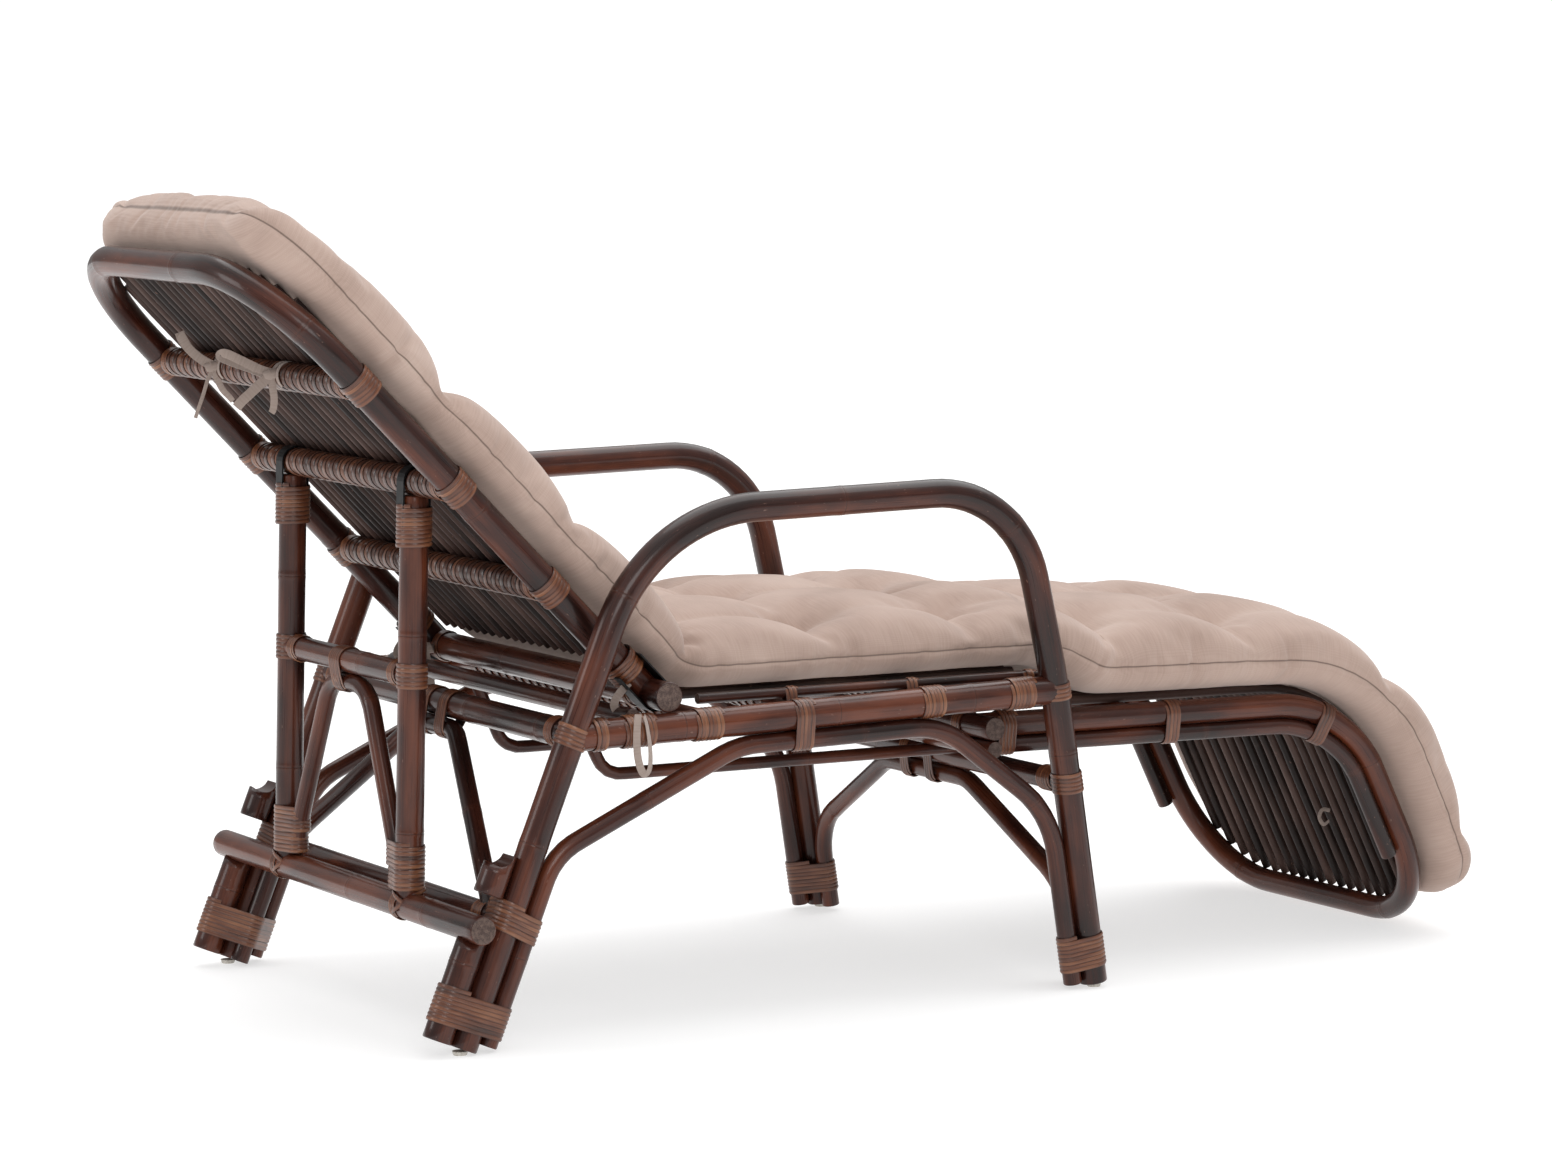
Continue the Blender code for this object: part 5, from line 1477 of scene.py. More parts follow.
@dataclass
class Footrest:
    """The slide-out footrest: a U-bent frame, thinner poles under it and slats along its curve."""

    d: Layout = DRAWING

    def build(self) -> None:
        """Models the footrest."""
        d = self.d
        side, other = d.lift(d.foot_x, *d.foot_line()), d.lift(-d.foot_x, *d.foot_line())
        knee, shin = BENDS_FOOT
        path = bent(side + other[::-1], (knee, shin, d.foot_corner, d.foot_corner, shin, knee))
        Pole("footrest_pole", path, d.foot_r, "footrest", ("footrest_frame",), seed=101, ring_every=0.30,
             resolution=10).build()
        low = (d.foot_rear_y, d.foot_low_z())
        high = (d.foot_rear_y, d.foot_high_z())
        Pole("footrest_lower_bar", d.across(d.foot_bar_half, low), d.foot_lower_r, "footrest",
             ("footrest_rear_bar_lower",), seed=102, resolution=7).build()
        Pole("footrest_upper_bar", d.across(d.foot_bar_half, high), d.foot_bar_r, "footrest",
             seed=103).build()
        mid_y = -0.365
        share = (d.foot_rear_y - mid_y) / (d.foot_rear_y - d.foot_knee[0])
        mid = (mid_y, high[1] * (1 - share) + d.foot_knee[1] * share + d.foot_bar_r - d.foot_mid_r)
        Pole("footrest_mid_bar", d.across(0.250, mid), d.foot_mid_r, "footrest", seed=104,
             resolution=6).build()
        closer = d.foot_r + d.gap + d.foot_lower_r
        below = d.foot_line(-closer)
        stop = tuple(a + (b - a) * 0.55 for a, b in zip(below[2], below[3]))
        for number, (name, sign) in enumerate(SIDES):
            corners = d.lift(sign * d.foot_x, (d.foot_rear_y, d.foot_low_z()), below[1], below[2], stop)
            Pole("footrest_under_pole_" + name, bent(corners, (knee - closer, shin - closer)), d.foot_lower_r,
                 "footrest", ("footrest_lower_pole_" + name,), seed=105 + number, resolution=8).build()
        self.slats()
        self.lashings(low, high, closer)

    def slats(self) -> None:
        """Curved slats from the rear bar to the end bar."""
        d = self.d
        offset = d.foot_bar_r + d.slat_r - d.slat_sink
        line = d.foot_line(offset)
        line[0] = (line[0][0] + d.foot_bar_r + 0.004, line[0][1])
        ways = []
        for x in slat_xs(11):
            inset = end_inset(x, d.foot_x, d.foot_corner) + 0.006
            length = math.dist(line[-1], line[-2])
            end = tuple(a + (b - a) * inset / length for a, b in zip(line[-1], line[-2]))
            bends = tuple(bend + offset for bend in BENDS_FOOT)
            ways.append(bent(d.lift(x, *line[:-1], end), bends, math.radians(6)))
        SlatPanel("footrest_slats", "footrest", ways, ("footrest_slat_panel",)).build()

    def lashings(self, low: Pair, high: Pair, closer: float) -> None:
        """Turns round frame and under pole, and round the rear bars' ends."""
        d = self.d
        work = LashingSet("footrest_lashings", "footrest")
        frame = Way(bent(d.lift(d.foot_x, *d.foot_line()), BENDS_FOOT))
        for _, sign in SIDES:
            for y, turns in ((-0.178, 5), (-0.427, 4), (-0.6685, 4)):
                mark = float(np.interp(-(y + d.shift), -frame.points[:, 1], frame.marks))
                place, way = frame.at(mark), frame.heading(mark)
                place.x *= sign
                down = Vector((0, -way.z, way.y))
                work.add(place, way, [(Vector(), d.foot_r), (down * closer, d.foot_lower_r)], turns)
            centre = Vector((0, 0, low[1] - high[1]))
            work.add(d.spot(sign * (d.foot_x - 0.028), high), ACROSS,
                     [(Vector(), d.foot_bar_r), (centre, d.foot_lower_r)], 4)
        work.build()


# The cushion


@dataclass
class Cushion:
    """One long stuffed pad: two cloth panels sewn round the sides, tufted in rows, folded at the hip.

    The pad is a tube of cloth laid out by its width and length and set on the deck's line. It is
    then blown up as cloth that its tufts, its seam and its underside hold.
    """

    d: Layout = DRAWING
    half: float = 0.302
    back_reach: float = 0.744
    seat_front: float = -0.226
    columns: int = 64
    cell: float = 0.0096
    corner: float = 0.125
    tufts_x: tuple[float, ...] = (-0.190, 0.0, 0.190)
    travel: float = 0.013
    seam_share: float = 0.40
    row_depth: float = 0.0095
    column_depth: float = 0.0060
    hip_depth: float = 0.018
    crease_depth: float = 0.011
    deepest: float = 0.044
    tucks: tuple[float, ...] = (0.115, 0.205, 0.272, 0.395, 0.455, 0.520, 0.585, 0.660, 0.835, 0.930, 1.010,
                                1.120, 1.235, 1.300, 1.362, 1.455, 1.530, 1.600, 1.665)

    def __post_init__(self) -> None:
        """Lays out the underside line and the tufts along it."""
        d = self.d
        deck_z = d.seat_bar_z + d.seat_bar_r + 2 * d.edge_r + 2 * d.gap - 2 * d.slack
        low = d.slat_offset() + d.slat_r + d.gap - d.slack
        pivot = d.pivot()
        meet = (deck_z - pivot[1] - low * math.cos(d.back_angle)) / math.sin(d.back_angle)
        offset = d.foot_bar_r + 2 * d.slat_r - d.slat_sink + 3 * d.gap
        foot = d.foot_line(offset)
        corners = [d.back(self.back_reach, low), d.back(meet, low), (self.seat_front, deck_z),
                   (self.seat_front - 0.075, foot[0][1] + 0.001), *foot[1:]]
        bends = (0.088, 0.10, 0.10, BENDS_FOOT[0] + offset, BENDS_FOOT[1] + offset)
        self.line = Way(bent(d.lift(0.0, *corners), bends, math.radians(2)))
        self.split = float(np.interp(-(self.seat_front + d.shift), -self.line.points[:, 1], self.line.marks))
        self.hip = hip = self.back_reach - meet - 0.014
        self.crease = hip - 0.456
        wanted = (hip - 0.665, self.crease, hip - 0.225, hip, *(hip + 0.222 + 0.209 * i for i in range(6)))
        self.rows_at = tuple(row for row in wanted if 0.06 < row < self.line.length - 0.05)

    def thickness(self, mark: float) -> float:
        """How thick the pad is at a place along it."""
        steps = [(0.0, 0.078), (self.hip, 0.078), (self.hip + 0.05, 0.076), (self.split, 0.076),
                 (self.split + 0.10, 0.096), (self.split + 0.26, 0.096), (self.split + 0.48, 0.086),
                 (self.line.length, 0.076)]
        return float(np.interp(mark, [s[0] for s in steps], [s[1] for s in steps]))

    def rows(self) -> np.ndarray:
        """Places of the cloth's rows, closer together at both ends."""
        count = round(self.line.length / self.cell)
        share = np.linspace(0.0, 1.0, count)
        eased = share - 0.100 * np.sin(2 * np.pi * share) / (2 * np.pi)
        near = np.array([0.003, 0.007, 0.012])
        margin = 0.016 / self.line.length
        inner = eased[(eased > margin) & (eased < 1 - margin)] * self.line.length
        return np.concatenate([[0.0], near, inner, self.line.length - near[::-1], [self.line.length]])

    def tuft_places(self) -> list[tuple[float, float, int]]:
        """Where the tufts are, along and across the pad, each with its number."""
        places = []
        for number, row in enumerate(self.rows_at):
            for column, tuft in enumerate(self.tufts_x):
                drift = 0.010 * math.sin(3.1 * number + 1.7 * column)
                places.append((row + drift * 0.6, tuft + drift, number * 3 + column))
        return places

    def drawn_in(self, mark: float) -> float:
        """Share by which the nearest row of tufts draws in the pad's sides."""
        side = 0.0
        for row in self.rows_at:
            fold = 1.0 if row in (self.hip, self.crease) else 0.0
            held = 0.1 if row < self.crease else 0.5
            side = max(side, math.exp(-((mark - row) / 0.026) ** 2) * (held + 0.8 * fold))
        return side

    def depth(self, mark: np.ndarray, x: np.ndarray) -> np.ndarray:
        """How deep the tufts and the valleys between them draw the top cloth in.

        Args:
            mark: Places along the pad.
            x: Places across it.

        Returns:
            The depth at each place.
        """
        depth = np.zeros_like(mark)
        for row in self.rows_at:
            away = mark - row
            extra = self.hip_depth * (row == self.hip) + self.crease_depth * (row == self.crease)
            bend = 0.006 * np.sin(x / 0.055 + row * 9)
            stuffed = 0.0 if row < self.crease else 0.6 if row < self.hip and not extra else 1.0
            depth += np.exp(-np.abs((away - bend) / 0.027) ** 1.5) * (self.row_depth * stuffed + extra)
        for tuft in self.tufts_x:
            off = x - tuft - 0.005 * np.sin(mark / 0.06)
            depth += self.column_depth * np.exp(-np.abs(off / 0.024) ** 1.5)
        for row, tuft, number in self.tuft_places():
            radius = np.hypot(mark - row, x - tuft)
            firm = 0.45 if row < self.crease - 0.05 else 1.0
            angle = np.arctan2(mark - row, x - tuft)
            depth += firm * (0.016 * np.exp(-(radius / 0.013) ** 2) + 0.013 * np.exp(-(radius / 0.042) ** 2))
            rays = np.sin((5 + number % 3) * angle + number * 1.9) * np.exp(-((radius - 0.038) / 0.020) ** 2)
            depth += 0.0021 * rays
        return np.minimum(depth, self.deepest)

    def lay_out(self) -> bpy.types.Object:
        """Models the sewn pad before it is blown up.

        Returns:
            The pad's object, with each point's place on the cloth and its distance from the seam.
        """
        rows = self.rows()
        ring = 2 * self.columns
        fresh_start()
        bpy.ops.mesh.primitive_grid_add(x_subdivisions=ring, y_subdivisions=len(rows) - 1, size=1.0)
        obj = bpy.context.object
        turn = np.linspace(0.0, math.pi, 241)
        flat = -np.sign(np.cos(turn)) * np.abs(np.cos(turn)) ** 0.55
        dome = np.sin(turn)
        places, weave, seam_gap = [], [], []
        for mark in rows:
            base = np.array(self.line.at(mark))
            way = self.line.heading(mark, 0.010)
            up = np.array((0.0, way.z, -way.y))
            thick = self.thickness(mark)
            to_end = min(mark, self.line.length - mark)
            corner = 1 - min(to_end / self.corner, 1.0)
            full = math.sqrt(max(0.0, 1 - (1 - min(to_end / 0.040, 1.0)) ** 2))
            side = self.drawn_in(mark)
            edge = self.half - self.corner * (1 - math.sqrt(max(0.0, 1 - corner * corner))) - 0.010 * side
            seam = thick * (self.seam_share + 0.10 * corner)
            x = flat * edge
            lower = seam * (1 - np.minimum(1.0, dome * 1.5) ** 0.8 * full)
            upper = seam + (thick * 1.02 - seam) * dome ** 0.75 * full
            upper -= self.depth(np.full_like(x, mark), x) * np.minimum(1.0, dome * 1.25) * full
            for part, height in enumerate((lower, upper)):
                line = np.stack([x, height], 1)
                arc = np.concatenate([[0.0], np.cumsum(np.linalg.norm(np.diff(line, axis=0), axis=1))])
                even = np.linspace(0.021, arc[-1] - 0.021, self.columns - 5)
                stops = np.concatenate([[0, 0.003, 0.009], even, [arc[-1] - 0.009, arc[-1] - 0.003, arc[-1]]])
                xs, hs = np.interp(stops, arc, x), np.interp(stops, arc, height)
                order = range(self.columns) if part == 0 else range(self.columns, -1, -1)
                for k in order:
                    places.append(base + up * hs[k] + np.array((xs[k], 0.0, 0.0)))
                    weave.append((xs[k], mark, 0.001 * part))
                    seam_gap.append(min(stops[k], arc[-1] - stops[k], to_end * 1.6))
        obj.data.vertices.foreach_set("co", np.array(places, np.float32).ravel())
        store(obj.data, "weave", "FLOAT_VECTOR", np.array(weave))
        store(obj.data, "seam", "FLOAT", np.array(seam_gap))
        bpy.ops.object.mode_set(mode="EDIT")
        bpy.ops.mesh.select_all(action="SELECT")
        bpy.ops.mesh.remove_doubles(threshold=0.00005)
        bpy.ops.mesh.normals_make_consistent(inside=False)
        bpy.ops.object.mode_set(mode="OBJECT")
        return obj

    def fields(self, obj: bpy.types.Object) -> tuple[np.ndarray, np.ndarray]:
        """Each point's place on the cloth, and its distance from the seam."""
        count = len(obj.data.vertices)
        weave, seam = np.zeros(count * 3, np.float32), np.zeros(count, np.float32)
        obj.data.attributes["weave"].data.foreach_get("vector", weave)
        obj.data.attributes["seam"].data.foreach_get("value", seam)
        return weave.reshape(-1, 3), seam

    def held(self, obj: bpy.types.Object) -> bpy.types.VertexGroup:
        """Groups the points that the sewing and the deck hold.

        Args:
            obj: The laid out pad.

        Returns:
            The group, whose weight is 1 where the cloth can't move.
        """
        group = obj.vertex_groups.new(name="sewn")
        weave, seam = self.fields(obj)
        weight = np.where((weave[:, 2] < 0.0005) & (seam > 0.02), 1.0, 0.0)
        weight = np.where(seam < 0.004, 0.85, weight)
        for row, tuft, _ in self.tuft_places():
            near = np.hypot(weave[:, 1] - row, weave[:, 0] - tuft) < 0.009
            weight = np.where(near & (weave[:, 2] > 0.0005), 1.0, weight)
        for index in np.nonzero(weight)[0].tolist():
            group.add([index], float(weight[index]), "REPLACE")
        return group

    def blow_up(self, obj: bpy.types.Object) -> None:
        """Runs the pad as cloth under pressure, caps how far its points move, and keeps the result."""
        start = np.zeros(len(obj.data.vertices) * 3, np.float32)
        obj.data.vertices.foreach_get("co", start)
        group = self.held(obj)
        cloth = obj.modifiers.new("stuffing", "CLOTH")
        settings = cloth.settings
        settings.quality = 5
        settings.mass = 0.35
        settings.tension_stiffness = 18
        settings.compression_stiffness = 6
        settings.shear_stiffness = 5
        settings.bending_stiffness = 0.15
        settings.use_pressure = True
        settings.uniform_pressure_force = 3.4
        settings.vertex_group_mass = group.name
        settings.pin_stiffness = 1.0
        # The cloth is cut a little larger than its stuffing, so it puckers round the tufts and seam.
        settings.shrink_min = -0.045
        settings.effector_weights.gravity = 0.0
        cloth.collision_settings.use_collision = False
        scene = bpy.context.scene
        for frame in range(1, 21):
            scene.frame_set(frame)
        apply_modifiers(obj)
        scene.frame_set(1)
        moved = np.zeros(len(start), np.float32)
        obj.data.vertices.foreach_get("co", moved)
        step = (moved - start).reshape(-1, 3)
        size = np.linalg.norm(step, axis=1)
        scale = np.where(size > 1e-9, self.travel * np.tanh(size / self.travel) / np.maximum(size, 1e-9), 1.0)
        LOG.info("cushion: cloth moved %.1f mm at most, %.1f mm on average", size.max() * 1000,
                 size.mean() * 1000)
        shaped = start.reshape(-1, 3) + step * scale[:, None]
        obj.data.vertices.foreach_set("co", shaped.astype(np.float32).ravel())
        obj.vertex_groups.clear()

    def sew(self, obj: bpy.types.Object) -> None:
        """Presses in the seam and the small tucks that gather along it."""
        weave, seam = self.fields(obj)
        count = len(seam)
        place, normal = np.zeros(count * 3, np.float32), np.zeros(count * 3, np.float32)
        obj.data.vertices.foreach_get("co", place)
        obj.data.vertices.foreach_get("normal", normal)
        mark, side = weave[:, 1], np.sign(weave[:, 0])
        depth = 0.0020 * np.exp(-(seam / 0.0022) ** 2)
        for number, tuck in enumerate(self.tucks):
            for sign in (1, -1):
                here = tuck + 0.012 * math.sin(number * 2.3 + sign)
                lean = here + 0.22 * math.sin(number * 1.7 + sign) * seam
                size = 0.0036 + 0.0016 * math.sin(number * 4.1 + 2 * sign)
                long = 0.026 + 0.012 * math.sin(number * 2.9 + sign)
                fall = np.exp(-(seam / long) ** 2) * (side == sign)
                depth += size * fall * (np.exp(-((mark - lean) / 0.0055) ** 2)
                                        - 0.45 * np.exp(-((mark - lean - 0.013) / 0.007) ** 2)
                                        - 0.30 * np.exp(-((mark - lean + 0.014) / 0.008) ** 2))
        ripple = np.sin(mark / 0.0043 + 3 * np.sin(mark / 0.031)) * np.sin(mark / 0.047 + side)
        depth += 0.0007 * ripple * np.exp(-(seam / 0.013) ** 2)
        place = place.reshape(-1, 3) - normal.reshape(-1, 3) * depth[:, None]
        obj.data.vertices.foreach_set("co", place.astype(np.float32).ravel())
        obj.data.update()

    def build(self) -> None:
        """Models the pad, splits it at the seat's front and lets the foot length ride on the base."""
        obj = self.lay_out()
        self.blow_up(obj)
        refine = obj.modifiers.new("smooth", "SUBSURF")
        refine.levels = refine.render_levels = 1
        apply_modifiers(obj)
        self.sew(obj)
        bpy.ops.object.shade_smooth()
        foot = self.split_off(obj)
        place = self.line.at(self.split)
        for piece, name in ((obj, "cushion_back_and_seat"), (foot, "cushion_foot_length")):
            piece.data.materials.append(finish_of(Finish.CLOTH))
            piece.name = piece.data.name = name
        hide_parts("seat_cushion", "cushion_hip_fold", "back_cushion")
        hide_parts("foot_cushion")
        pivot = self.d.spot(0.0, self.d.pivot())
        way = self.d.back_way()
        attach(foot, "base")
        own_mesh(foot)
        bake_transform(obj)
        LOG.info("cushion: %d and %d faces", len(obj.data.polygons), len(foot.data.polygons))

    def split_off(self, obj: bpy.types.Object) -> bpy.types.Object:
        """Cuts the pad at the seat's front and closes both lengths."""
        pick(obj)
        bpy.ops.object.duplicate()
        foot = bpy.context.object
        place = self.line.at(self.split)
        way = self.line.heading(self.split, 0.02)
        for piece, outer in ((obj, True), (foot, False)):
            pick(piece)
            bpy.ops.object.mode_set(mode="EDIT")
            bpy.ops.mesh.select_all(action="SELECT")
            bpy.ops.mesh.bisect(plane_co=tuple(place), plane_no=tuple(way), use_fill=True,
                                clear_outer=outer, clear_inner=not outer)
            bpy.ops.object.mode_set(mode="OBJECT")
        return foot


# Tapes and bows


def as_tape(strand: bpy.types.Object) -> bpy.types.Object:
    """Stores a strand's width and length for the woven tape's finish."""
    count = len(strand.data.vertices)
    grain = np.zeros(count * 3, np.float32)
    strand.data.attributes["grain"].data.foreach_get("vector", grain)
    store(strand.data, "weave", "FLOAT_VECTOR", grain.reshape(-1, 3)[:, [1, 0, 2]])
    store(strand.data, "seam", "FLOAT", np.full(count, 0.05))
    return strand


@dataclass
class Tape:
    """A flat sewn cotton tape along a line, twisting as it goes."""

    points: list[Vector]
    facing: Vector
    width: float = 0.011
    twist: float = 0.0

    def build(self) -> bpy.types.Object:
        """Models the tape."""
        line = eased_line(self.points, 7)
        across, out = [], []
        for i, place in enumerate(line):
            ahead = line[min(i + 1, len(line) - 1)] - line[max(i - 1, 0)]
            turn = Matrix.Rotation(self.twist * i / len(line), 3, ahead.normalized())
            side = (turn @ self.facing).cross(ahead).normalized()
            across.append(side)
            out.append(ahead.cross(side).normalized())
        return as_tape(ribbon(line, across, out, Strand(self.width, 0.0009, 0.0007, 0.0), [0.0] * len(line)))


@dataclass
class Ties:
    """The cushion's tapes: bows on the back's top bar and at its lower end, ties at the hip, loops."""

    d: Layout = DRAWING

    def bow(self, centre: Vector, shapes: list[tuple[list, float, float]]) -> list[bpy.types.Object]:
        """Ties one bow that hangs as the photograph shows it.

        Args:
            centre: The knot.
            shapes: For each tape its points (to the viewer's right, up, off the bar) in millimetres,
                its width and its twist.

        Returns:
            The bow's tapes and knot.
        """
        d = self.d
        behind = Vector((0, math.sin(d.back_angle), -math.cos(d.back_angle)))
        across = Vector((-math.sin(STUDIO.heading), -math.cos(STUDIO.heading), 0))
        facing = Vector((-math.cos(STUDIO.heading), math.sin(STUDIO.heading), 0.1)).normalized()
        made = []
        for points, width, twist in shapes:
            line = [centre + (across * x + Vector((0, 0, z)) + behind * y) / 1000 for x, z, y in points]
            made.append(Tape(line, facing, width, twist).build())
        knot = Lashing(centre + behind * 0.003, across,
                       [(Vector(), 0.0036), (Vector((0, 0, -0.003)), 0.003)], 1.8,
                       Strand(0.009, 0.0013, 0.001), slant=0.0015, seed=5)
        return made + [as_tape(strand) for strand in knot.build()]

    def build(self) -> None:
        """Models all ties."""
        d = self.d
        left = [([(0, 0, 4), (-12, 8, 5), (-26, 18, 4), (-38, 30, 2), (-43, 38, 0)], 0.012, 0.3),
                ([(-43, 38, 0), (-36, 36, 6), (-24, 24, 10), (-10, 10, 8), (0, 2, 5)], 0.011, 0.2),
                ([(0, 0, 4), (9, 5, 8), (19, 6, 8), (17, 1, 5), (6, -2, 4)], 0.010, 0.5),
                ([(0, -2, 5), (8, -12, 9), (15, -24, 10), (21, -35, 7), (25, -41, 6)], 0.008, 0.6),
                ([(0, -2, 5), (-3, -13, 10), (-6, -28, 14), (-10, -43, 17), (-13, -53, 18)], 0.0045, 0.3)]
        right = [([(0, 0, 4), (-14, 10, 9), (-32, 22, 12), (-50, 29, 11), (-58, 25, 9), (-50, 17, 6),
                   (-30, 9, 5), (-10, 1, 5)], 0.011, -0.5),
                 ([(0, -1, 5), (-10, -8, 9), (-20, -17, 12), (-29, -25, 14), (-35, -32, 15)], 0.012, 0.25),
                 ([(0, 0, 4), (9, 4, 8), (19, 5, 9), (21, 0, 7), (10, -3, 5)], 0.010, -0.4),
                 ([(0, -2, 5), (4, -12, 9), (7, -24, 11), (6, -36, 11), (3, -42, 10)], 0.009, 0.5)]
        bows = []
        for x, shapes in ((0.097, left), (-0.080, right)):
            bar = d.spot(x, d.back(d.bar_top))
            bows += self.bow(bar + Vector((0, 0.0165, 0.0062)), shapes)
            for reach in (0.005, -0.006):
                band = Lashing(bar + Vector((reach, 0, 0)), ACROSS, one(0.0166), 1.0,
                               Strand(0.009, 0.0008, 0.0004), slant=0.002, seed=3)
                bows += [as_tape(strand) for strand in band.build()]
        dress(join("back_bows", bows), "back_bows", "back", Finish.TAPE)
        self.loose()

    def loose(self) -> None:
        """Ties beside the hinge, the lower back's bow and the loops under side rail and footrest."""
        d = self.d
        facing = Vector((-1, 0, 0))
        hip = []
        for sign in (1, -1):
            x = sign * 0.303
            shape = [(0.372, 0.418), (0.386, 0.404), (0.392, 0.392), (0.386, 0.379), (0.391, 0.362)]
            hip.append(Tape(d.lift(x, *shape), facing, 0.010, 0.6).build())
        loop_x = -(d.arm_x + d.rail_r + 0.004)
        loop = [(0.392, 0.388), (0.394, 0.360), (0.392, 0.334), (0.385, 0.317), (0.377, 0.322),
                (0.376, 0.345), (0.380, 0.372), (0.384, 0.386)]
        hip.append(Tape(d.lift(loop_x, *loop), facing, 0.009, 0.9).build())
        dress(join("hip_ties", hip), "hip_ties", "base", Finish.TAPE)
        low = [([(0, 0, 4), (-6, 16, 6), (-14, 38, 4), (-20, 56, 2), (-26, 50, 6), (-20, 30, 9), (-8, 10, 8),
                 (0, 2, 5)], 0.011, 0.3),
               ([(0, -2, 5), (-1, -16, 7), (1, -32, 8), (0, -50, 8)], 0.009, 0.3),
               ([(0, -2, 5), (5, -14, 8), (9, -30, 9), (11, -50, 9)], 0.010, -0.2)]
        far = self.bow(d.spot(0.262, (0.368, 0.405)), low)
        dress(join("lower_back_tie", far), "lower_back_tie", "back", Finish.TAPE)
        line = d.foot_line(d.foot_bar_r - d.slat_sink - 0.005)
        spot = tuple(a + (b - a) * 0.52 for a, b in zip(line[2], line[3]))
        ring = [(spot[0] + a, spot[1] + b) for a, b in ((0.004, 0.010), (0.016, 0.012), (0.021, 0.002),
                                                        (0.014, -0.008), (0.005, -0.004))]
        small = Tape(d.lift(-0.098, *ring), facing, 0.005, 0.4).build()
        dress(join("footrest_loop", [small]), "footrest_loop", "footrest", Finish.TAPE)


# Hardware, light and camera


def dress_hardware(nodes: dict[str, bpy.types.Object]) -> None:
    """Gives the straps, hooks and glides that stay as they are their real finishes."""
    for name, obj in nodes.items():
        if name.startswith(("hinge_strap", "prop_hook")):
            finish = Finish.STEEL
        elif name.startswith("foot_glide"):
            finish = Finish.GLIDE
        else:
            continue
        if not obj.material_slots:
            obj.data.materials.append(finish_of(finish))
        for slot in obj.material_slots:
            slot.material = finish_of(finish)


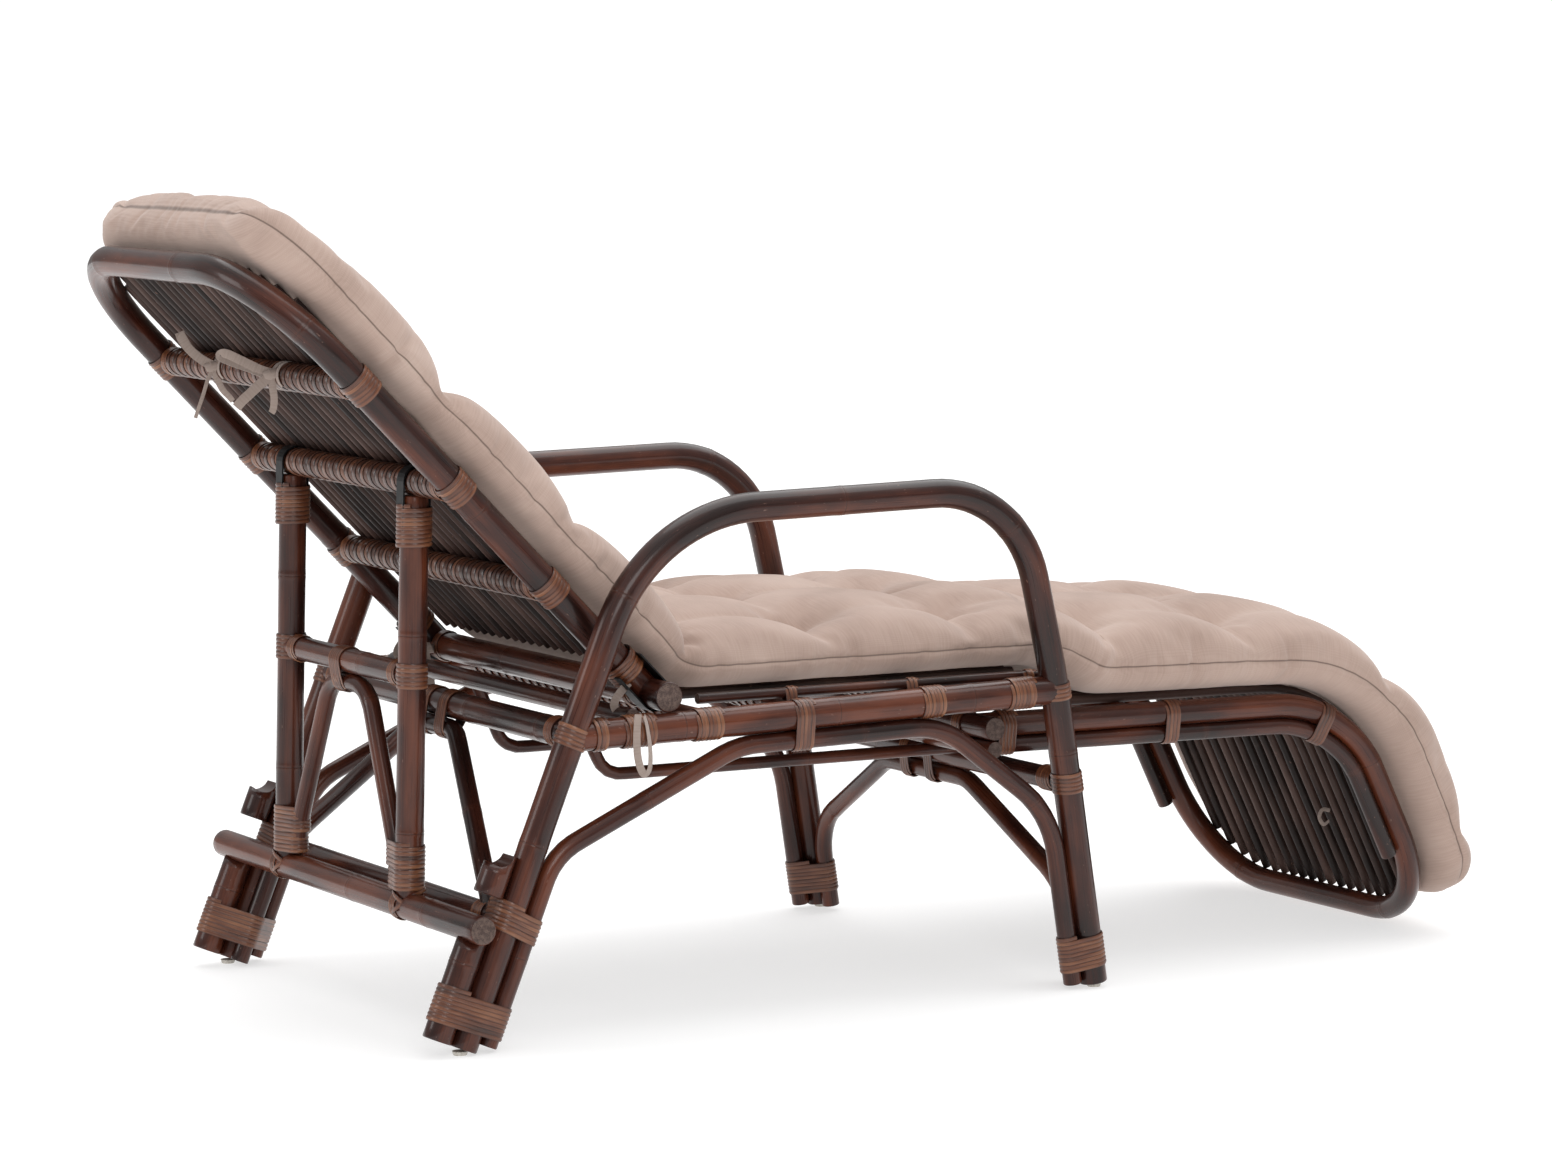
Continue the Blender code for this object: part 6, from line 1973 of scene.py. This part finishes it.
@dataclass(frozen=True)
class Studio:
    """White studio: seamless floor, two soft boxes, and the camera of the photograph."""

    lens: float = 113.52
    camera_at: tuple[float, float, float] = (-5.4105, 3.09668, 1.1349)
    heading: float = math.radians(29.4897)
    pitch: float = math.radians(5.909)
    room_light: float = 0.30
    zenith_light: float = 0.85
    ceiling_light: float = 2.0

    def build(self) -> None:
        """Sets up camera, floor and light."""
        camera = bpy.data.cameras.new("photo camera")
        camera.lens = self.lens
        camera.sensor_width = 36.0
        camera.clip_end = 60.0
        holder = bpy.data.objects.new("photo camera", camera)
        holder.location = self.camera_at
        c = math.cos(self.pitch)
        forward = Vector((math.cos(self.heading) * c, -math.sin(self.heading) * c, -math.sin(self.pitch)))
        holder.rotation_euler = forward.to_track_quat("-Z", "Y").to_euler()
        bpy.context.scene.collection.objects.link(holder)
        bpy.context.scene.camera = holder
        self.floor()
        self.lights()

    def floor(self) -> None:
        """Lays a plain pale floor."""
        fresh_start()
        bpy.ops.mesh.primitive_plane_add(size=40.0, location=(0, 0, -0.0005))
        floor = bpy.context.object
        floor.name = "studio_floor"
        material, tree, shader = new_tree("matt white paper")
        place = add_node(tree, "TexCoord").outputs["Object"]
        tooth = add_node(tree, "TexNoise", {"Vector": place, "Scale": 3.0}).outputs[0]
        paper = add_node(tree, "ValToRGB", {0: tooth}, stops=[(0.3, "#b9b9b9"), (0.7, "#bcbcbc")])
        tree.links.new(paper.outputs[0], shader.inputs["Base Color"])
        shader.inputs["Roughness"].default_value = 1.0
        shader.inputs["Specular IOR Level"].default_value = 0.0
        # The photo's ground is burnt out to white, so the paper gives off most of its own light.
        shader.inputs["Emission Color"].default_value = (1, 1, 1, 1)
        shader.inputs["Emission Strength"].default_value = 0.62
        floor.data.materials.append(material)

    def lights(self) -> None:
        """Hangs the soft boxes and lights the room evenly."""
        world = bpy.data.worlds.new("white room")
        world.use_nodes = True
        sky = world.node_tree.nodes["Background"]
        sky.inputs["Color"].default_value = (1, 1, 1, 1)
        seen = add_node(world.node_tree, "LightPath").outputs["Is Camera Ray"]
        # The room is brighter overhead than at its walls, so that upright poles keep dark flanks.
        way = add_node(world.node_tree, "TexCoord").outputs["Generated"]
        height = add_node(world.node_tree, "SeparateXYZ", {0: way}).outputs["Z"]
        room = add_node(world.node_tree, "MapRange", {0: height, 1: 0.0, 2: 0.9, 3: self.room_light,
                                                      4: self.zenith_light}).outputs[0]
        level = add_node(world.node_tree, "MapRange", {0: seen, 3: room, 4: 1.1})
        world.node_tree.links.new(level.outputs[0], sky.inputs["Strength"])
        scene = bpy.context.scene
        scene.world = world
        scene.view_settings.view_transform = "Standard"
        ceiling = bpy.data.lights.new("ceiling bank", "SUN")
        ceiling.energy = self.ceiling_light
        ceiling.angle = math.radians(70)
        bank = bpy.data.objects.new("ceiling bank", ceiling)
        bank.rotation_euler = Vector((-0.25, 0.40, -1.0)).to_track_quat("-Z", "Y").to_euler()
        scene.collection.objects.link(bank)
        boxes = (("side box", (-3.4, 1.6, 2.2), (0, 0.2, 0.5), 1.5, 26.0),
                 ("rear box", (0.6, 3.6, 1.6), (0, 0.4, 0.6), 1.2, 16.0))
        for name, place, aim, size, power in boxes:
            light = bpy.data.lights.new(name, "AREA")
            light.size = size
            light.energy = power
            holder = bpy.data.objects.new(name, light)
            holder.location = place
            holder.rotation_euler = (Vector(aim) - Vector(place)).to_track_quat("-Z", "Y").to_euler()
            bpy.context.scene.collection.objects.link(holder)


STUDIO = Studio()


def main() -> None:
    """Builds the lounger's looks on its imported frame."""
    logging.basicConfig(level=logging.INFO, format="%(message)s", stream=sys.stdout)
    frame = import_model()
    STUDIO.build()
    dress_hardware(frame["nodes"])
    SideFrames().build()
    Back().build()
    Prop().build()
    Footrest().build()
    Cushion().build()
    Ties().build()


if __name__ == "__main__":
    main()
